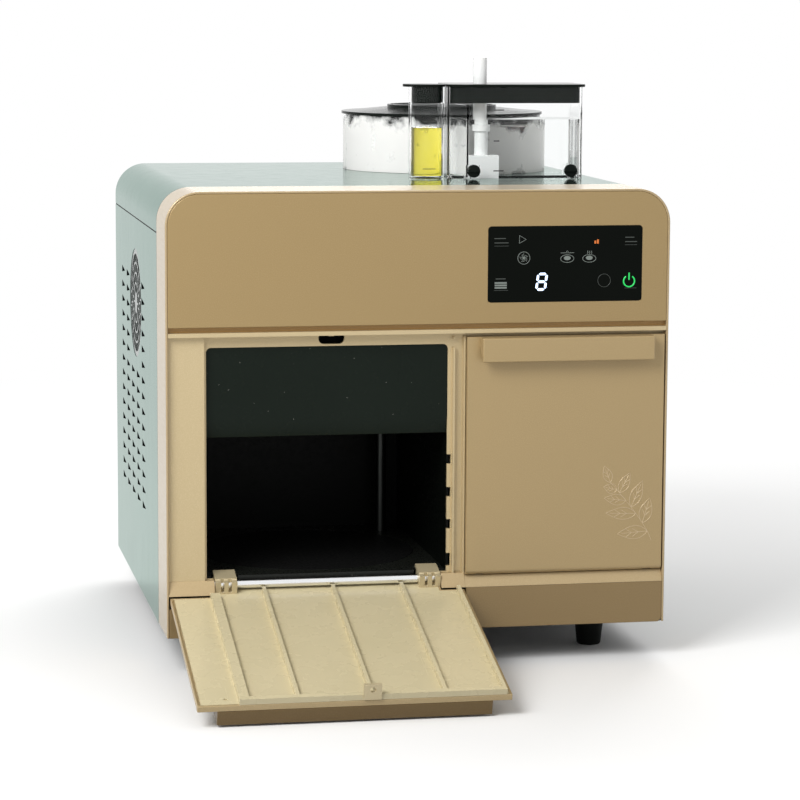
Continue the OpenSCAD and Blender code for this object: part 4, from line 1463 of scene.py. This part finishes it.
class Leaf(NamedTuple):
    """One leaf of the sprig: its place on the stem, direction and length."""

    place: float
    angle: float
    length: float


SPRIG = (
    Leaf(0.1, 184, 26),
    Leaf(0.22, 74, 22),
    Leaf(0.38, 178, 26),
    Leaf(0.5, 66, 24),
    Leaf(0.62, 172, 19),
    Leaf(0.78, 62, 19),
    Leaf(0.84, 166, 12),
    Leaf(1.0, 112, 15),
)


@dataclass
class RightDoor(Assembly):
    """Closed door with its handle bar and a fine leaf sprig."""

    face: float = -210.0
    root: Flat = (198.0, 101.0)
    reach: Flat = (-36.0, 50.0)
    bow: float = 0.8
    line: float = 0.5
    widest: float = 5.6
    narrowing: float = 0.25

    def stem(self, t: float) -> Flat:
        """Finds the point at a share of the stem."""
        return self.root[0] + self.reach[0] * t, self.root[1] + self.reach[1] * t ** self.bow

    def outline(self, leaf: Leaf, width: float) -> list[list[Point]]:
        """Outlines one leaf with its midrib and two veins on each side.

        Args:
            leaf: Leaf to draw.
            width: Widest half in millimetres.

        Returns:
            Lines of the leaf.
        """
        base = self.stem(leaf.place)
        turn = math.radians(leaf.angle)
        along = (math.cos(turn), math.sin(turn))

        def spot(t: float, side: float) -> Point:
            """Finds a point of the leaf.

            Args:
                t: Share of the length.
                side: Sideways offset in millimetres.

            Returns:
                The point on the face of the door.
            """
            reach = leaf.length * t
            x = base[0] + along[0] * reach - along[1] * side
            return x, self.face, base[1] + along[1] * reach + along[0] * side

        steps = [i / 12 for i in range(13)]
        edge = [spot(t, width * math.sin(math.pi * t ** self.bow)) for t in steps]
        back = [spot(t, -width * math.sin(math.pi * t ** self.bow)) for t in reversed(steps)]
        rib = [spot(0.0, 0.0), spot(0.86, 0.0)]
        veins = [[spot(t, 0.0), spot(t + 0.2, side * width * 0.6)] for t in (0.3, 0.52) for side in (-1, 1)]
        return [edge + back, rib, *veins]

    def build(self) -> None:
        """Rounds the door and draws its sprig."""
        self.soften("right_door_panel", GOLD_DOOR, 0.9, 3)
        self.soften("right_door_handle", GOLD_DOOR, 1.2, 3)
        self.dress(STEEL, "right_hinge_lugs")
        points = [self.stem(i / 16) for i in range(17)]
        strokes = [[(x, self.face, z) for x, z in points]]
        for i, leaf in enumerate(SPRIG):
            strokes += self.outline(leaf, self.widest - self.narrowing * i)
        self.fit(Bench.wire("leaf_sprig", strokes, self.line / 2), Body.RIGHT_DOOR, Slot.GOLD, MOTIF)


@dataclass
class Containers(Assembly):
    """Lift-off flour, oil and water containers with what they hold."""

    seat: float = 396.0
    floor: float = 2.2
    oil_centre: Flat = (36.8, -44.0)
    oil_radius: float = 13.35
    oil_level: float = 439.8
    oil_dish: Flat = (1.2, 0.5)
    oil_marks: Flat = (404.5, 445.5)
    oil_mark_radius: float = 15.62
    oil_mark_line: float = 0.35
    pools: tuple[Box, Box] = ((55.8, -58.7, 69.3, -6.3), (71.3, -58.7, 171.7, -6.3))
    pool_floor: float = 2.7
    water_level: float = 447.0
    tank_corner: float = 6.8
    inner_corner: float = 0.3
    well: Flat = (2.3, 6.1)
    tank_face: float = -61.08
    tank_mark_left: float = 93.0
    tank_marks: tuple[Flat, ...] = ((102.0, 455.2), (102.0, 402.6), (98.0, 428.5))
    flour_centre: Flat = (79.5, 98.0)
    flour_radius: float = 88.3
    flour_level: float = 433.0
    flour_rings: int = 11
    ring_step: float = 7.3
    flour_sides: int = 96
    flour_angle: float = 60.0
    lumps: float = 3.5
    lump_waves: float = 38.0
    lump_noise: tuple[float, float, int] = (0.9, 2.0, 4)
    hollow: float = 6.0

    def oil(self) -> None:
        """Fills the oil column and prints its two marks."""
        x, y = self.oil_centre
        low = self.seat + self.floor
        fill = Bench.rod("oil_fill", (x, y, low), UP, self.oil_level - low, self.oil_radius)
        Bench.sink(fill, UP, *self.oil_dish)
        Bench.smooth(fill)
        self.fit(fill, Body.OIL, Slot.CLEAR, OIL)
        reach = (self.oil_mark_radius, self.oil_mark_radius)
        turns = [math.radians(-112 + 6 * k) for k in range(8)]
        marks = [[(*around(self.oil_centre, reach, turn), z) for turn in turns] for z in self.oil_marks]
        self.fit(Bench.wire("oil_marks", marks, self.oil_mark_line), Body.OIL, Slot.CLEAR, PRINT)

    def pool(self, box: Box) -> list[Flat]:
        """Outlines water in one chamber of the tank, round where the tank is.

        Args:
            box: Its left, front, right and rear side in millimetres.

        Returns:
            Corners of the outline.
        """
        left, front, right, back = box
        middle_x, middle_y = (left + right) / 2, (front + back) / 2
        points = []
        for i, (x, y) in enumerate(((right, back), (left, back), (left, front), (right, front))):
            is_outer = x in (self.pools[0][0], self.pools[1][2])
            r = self.tank_corner if is_outer else self.inner_corner
            centre = (x - math.copysign(r, x - middle_x), y - math.copysign(r, y - middle_y))
            points += [around(centre, (r, r), math.radians(90 * i + k * 11.25)) for k in range(9)]
        return points

    def water(self) -> None:
        """Fills both chambers of the tank with their lower wells and prints its marks."""
        margin, depth = self.well
        for name, box in zip(("left", "right"), self.pools):
            low = self.seat + self.pool_floor
            outline = [(x, y, low) for x, y in self.pool(box)]
            fill = Bench.raise_plate(f"water_{name}", outline, (0.0, 0.0, self.water_level - low))
            Bench.select_faces(fill, DOWN, LEVEL, len(outline))
            bpy.ops.mesh.inset(thickness=margin * MM)
            bpy.ops.mesh.extrude_region_move(TRANSFORM_OT_translate={"value": (0.0, 0.0, -depth * MM)})
            bpy.ops.object.mode_set(mode="OBJECT")
            Bench.smooth(fill)
            self.fit(fill, Body.WATER, Slot.CLEAR, WATER)
        left = self.tank_mark_left
        marks = []
        for i, (right, z) in enumerate(self.tank_marks):
            outline = [(left, z - 0.5), (right, z - 0.5), (right, z + 0.5), (left, z + 0.5)]
            marks.append(Bench.slab(f"tank_mark_{i}", outline, self.tank_face, 0.1))
        self.fit(Bench.melt("tank_marks", marks), Body.WATER, Slot.CLEAR, PRINT)

    def flour(self) -> None:
        """Heaps the flour with a hollow over the outlet."""
        x, y = self.flour_centre
        low = self.seat + self.floor
        height = self.flour_level - low
        heap = Bench.rod("flour_fill", (x, y, low), UP, height, self.flour_radius, self.flour_sides)
        for _ in range(self.flour_rings):
            Bench.select_faces(heap, UP, LEVEL, self.flour_sides)
            bpy.ops.mesh.inset(thickness=self.ring_step * MM)
            bpy.ops.object.mode_set(mode="OBJECT")
        Bench.select_faces(heap, UP, LEVEL, self.flour_sides)
        bpy.ops.mesh.poke()
        bpy.ops.object.mode_set(mode="OBJECT")
        for vertex in heap.data.vertices:
            if vertex.co.z > (self.flour_level - 1.0) * MM:
                wave = noise.fractal(vertex.co * self.lump_waves, *self.lump_noise)
                reach = (vertex.co.xy - Vector((x, y)) * MM).length / (self.flour_radius * MM)
                vertex.co.z += (wave * self.lumps - self.hollow * (1.0 - reach) ** 2) * MM
        Bench.smooth(heap, self.flour_angle)
        self.fit(heap, Body.FLOUR, Slot.CLEAR, FLOUR)

    def build(self) -> None:
        """Dresses the containers and fills them."""
        self.soften("flour_container", CLEAR_POWDER, 0.4)
        self.soften("flour_lid", LID_BLACK, 0.7, 3)
        self.soften("oil_container", CLEAR, 0.4)
        self.soften("oil_lid", LID_BLACK, 0.6, 3)
        self.soften("water_tank", CLEAR, 0.5)
        self.soften("tank_lid", LID_BLACK, 0.6, 3)
        self.soften("uptake_tube", TUBE_WHITE, 0.5)
        self.soften("tank_catch_left", LID_BLACK, 0.5)
        self.soften("tank_catch_right", LID_BLACK, 0.5)
        self.dress(WHITE, "auger_tube")
        self.dress(STEEL, "auger_screw")
        self.oil()
        self.water()
        self.flour()


@dataclass
class KneadingBay(Assembly):
    """Bay behind the right door with its cup, lid and paddle."""

    def build(self) -> None:
        """Dresses the bay."""
        self.dress(WHITE, "bay_liner")
        self.soften("kneading_cup", CLEAR_CUP, 0.4)
        self.soften("cup_lid", MATTE_BLACK, 0.7)
        self.soften("kneading_paddle", WHITE, 0.7)
        self.dress(MOTOR, "kneading_motor")


@dataclass
class Studio:
    """Floor, light and camera around the object, in metres and degrees."""

    eye: Point = (-0.4666, -2.5362, 0.5472)
    yaw: float = 10.93
    pitch: float = 7.765
    roll: float = 0.30
    lens: float = 131.2
    floor_radius: float = 40.0
    near_floor: float = 0.75
    far_floor: float = 1.7
    floor_tone: Rgb = (0.93, 0.93, 0.925)
    floor_bounce: Rgb = (0.42, 0.42, 0.41)
    soft_light: float = 0.50

    def floor(self) -> None:
        """Lays a pale floor that fades into the white room."""
        Bench.clear()
        bpy.ops.mesh.primitive_circle_add(vertices=96, radius=self.floor_radius, fill_type="NGON")
        ground = Bench.settle(bpy.context.active_object, "studio_floor")
        board = ShaderBoard("studio_floor")
        board.set(roughness=0.9)
        path = board.add("ShaderNodeLightPath")
        board.paint(board.blend(path.outputs["Is Diffuse Ray"], self.floor_tone, self.floor_bounce))
        place = board.add("ShaderNodeTexCoord")
        length = board.add("ShaderNodeVectorMath", operation="LENGTH")
        board.join(place.outputs["Object"], length.inputs[0])
        fade = board.spread(length.outputs["Value"], span=(self.near_floor, self.far_floor))
        white = board.add("ShaderNodeEmission")
        white.inputs["Color"].default_value = WHITE_LIGHT
        board.part(fade, white.outputs[0])
        ground.data.materials.append(board.material)

    def room(self) -> None:
        """Fills the room with soft light that cameras and mirrors see as white."""
        world = bpy.data.worlds.new("studio_room")
        bpy.context.scene.world = world
        world.use_nodes = True
        nodes, links = world.node_tree.nodes, world.node_tree.links
        nodes.clear()
        mix = nodes.new("ShaderNodeMixShader")
        path = nodes.new("ShaderNodeLightPath")
        seen = path.outputs["Is Camera Ray"]
        for ray in ("Is Glossy Ray", "Is Transmission Ray"):
            total = nodes.new("ShaderNodeMath")
            total.operation = "ADD"
            total.use_clamp = True
            links.new(seen, total.inputs[0])
            links.new(path.outputs[ray], total.inputs[1])
            seen = total.outputs[0]
        links.new(seen, mix.inputs[0])
        for index, strength in ((1, self.soft_light), (2, 1.0)):
            light = nodes.new("ShaderNodeBackground")
            light.inputs["Color"].default_value = WHITE_LIGHT
            light.inputs["Strength"].default_value = strength
            links.new(light.outputs[0], mix.inputs[index])
        links.new(mix.outputs[0], nodes.new("ShaderNodeOutputWorld").inputs["Surface"])

    @staticmethod
    def lamp(name: str, place: Point, aim: Point, size: float, power: float) -> None:
        """Hangs one soft lamp.

        Args:
            name: Name of the lamp.
            place: Its place.
            aim: Point that it lights.
            size: Side of its square.
            power: Power in watts.
        """
        light = bpy.data.lights.new(name, "AREA")
        light.size = size
        light.energy = power
        holder = bpy.data.objects.new(name, light)
        holder.location = place
        holder.rotation_mode = "QUATERNION"
        holder.rotation_quaternion = (Vector(aim) - Vector(place)).to_track_quat("-Z", "Y")
        bpy.context.scene.collection.objects.link(holder)

    def camera(self) -> None:
        """Sets the camera where the photograph was taken from."""
        data = bpy.data.cameras.new("photo_camera")
        data.lens = self.lens
        data.sensor_width = 36.0
        data.clip_start, data.clip_end = 0.05, 120.0
        holder = bpy.data.objects.new("photo_camera", data)
        turn = Matrix.Identity(4)
        for angle, axis in ((-self.yaw, "Z"), (90.0 - self.pitch, "X"), (self.roll, "Z")):
            turn = turn @ Matrix.Rotation(math.radians(angle), 4, axis)
        holder.matrix_world = Matrix.Translation(self.eye) @ turn
        bpy.context.scene.collection.objects.link(holder)
        bpy.context.scene.camera = holder

    def build(self) -> None:
        """Sets up the whole studio."""
        bpy.context.scene.view_settings.view_transform = "Standard"
        self.camera()
        self.room()
        self.floor()
        self.lamp("key_lamp", (-1.05, -1.2, 1.3), (0.0, -0.1, 0.2), size=0.9, power=29.0)
        self.lamp("back_lamp", (0.6, 1.8, 1.8), (0.0, 0.0, 0.3), size=1.6, power=30.0)


def main() -> None:
    """Builds the studio and every sub-assembly in order."""
    logging.basicConfig(level=logging.INFO, format="%(name)s: %(message)s")
    Studio().build()
    for part in (
        FrontPanel(),
        TouchDisplay(),
        OuterShell(),
        BakingChamber(),
        DischargeDoor(),
        RightDoor(),
        Containers(),
        KneadingBay(),
    ):
        LOG.info("building %s", type(part).__name__)
        part.build()


if __name__ == "__main__":
    main()
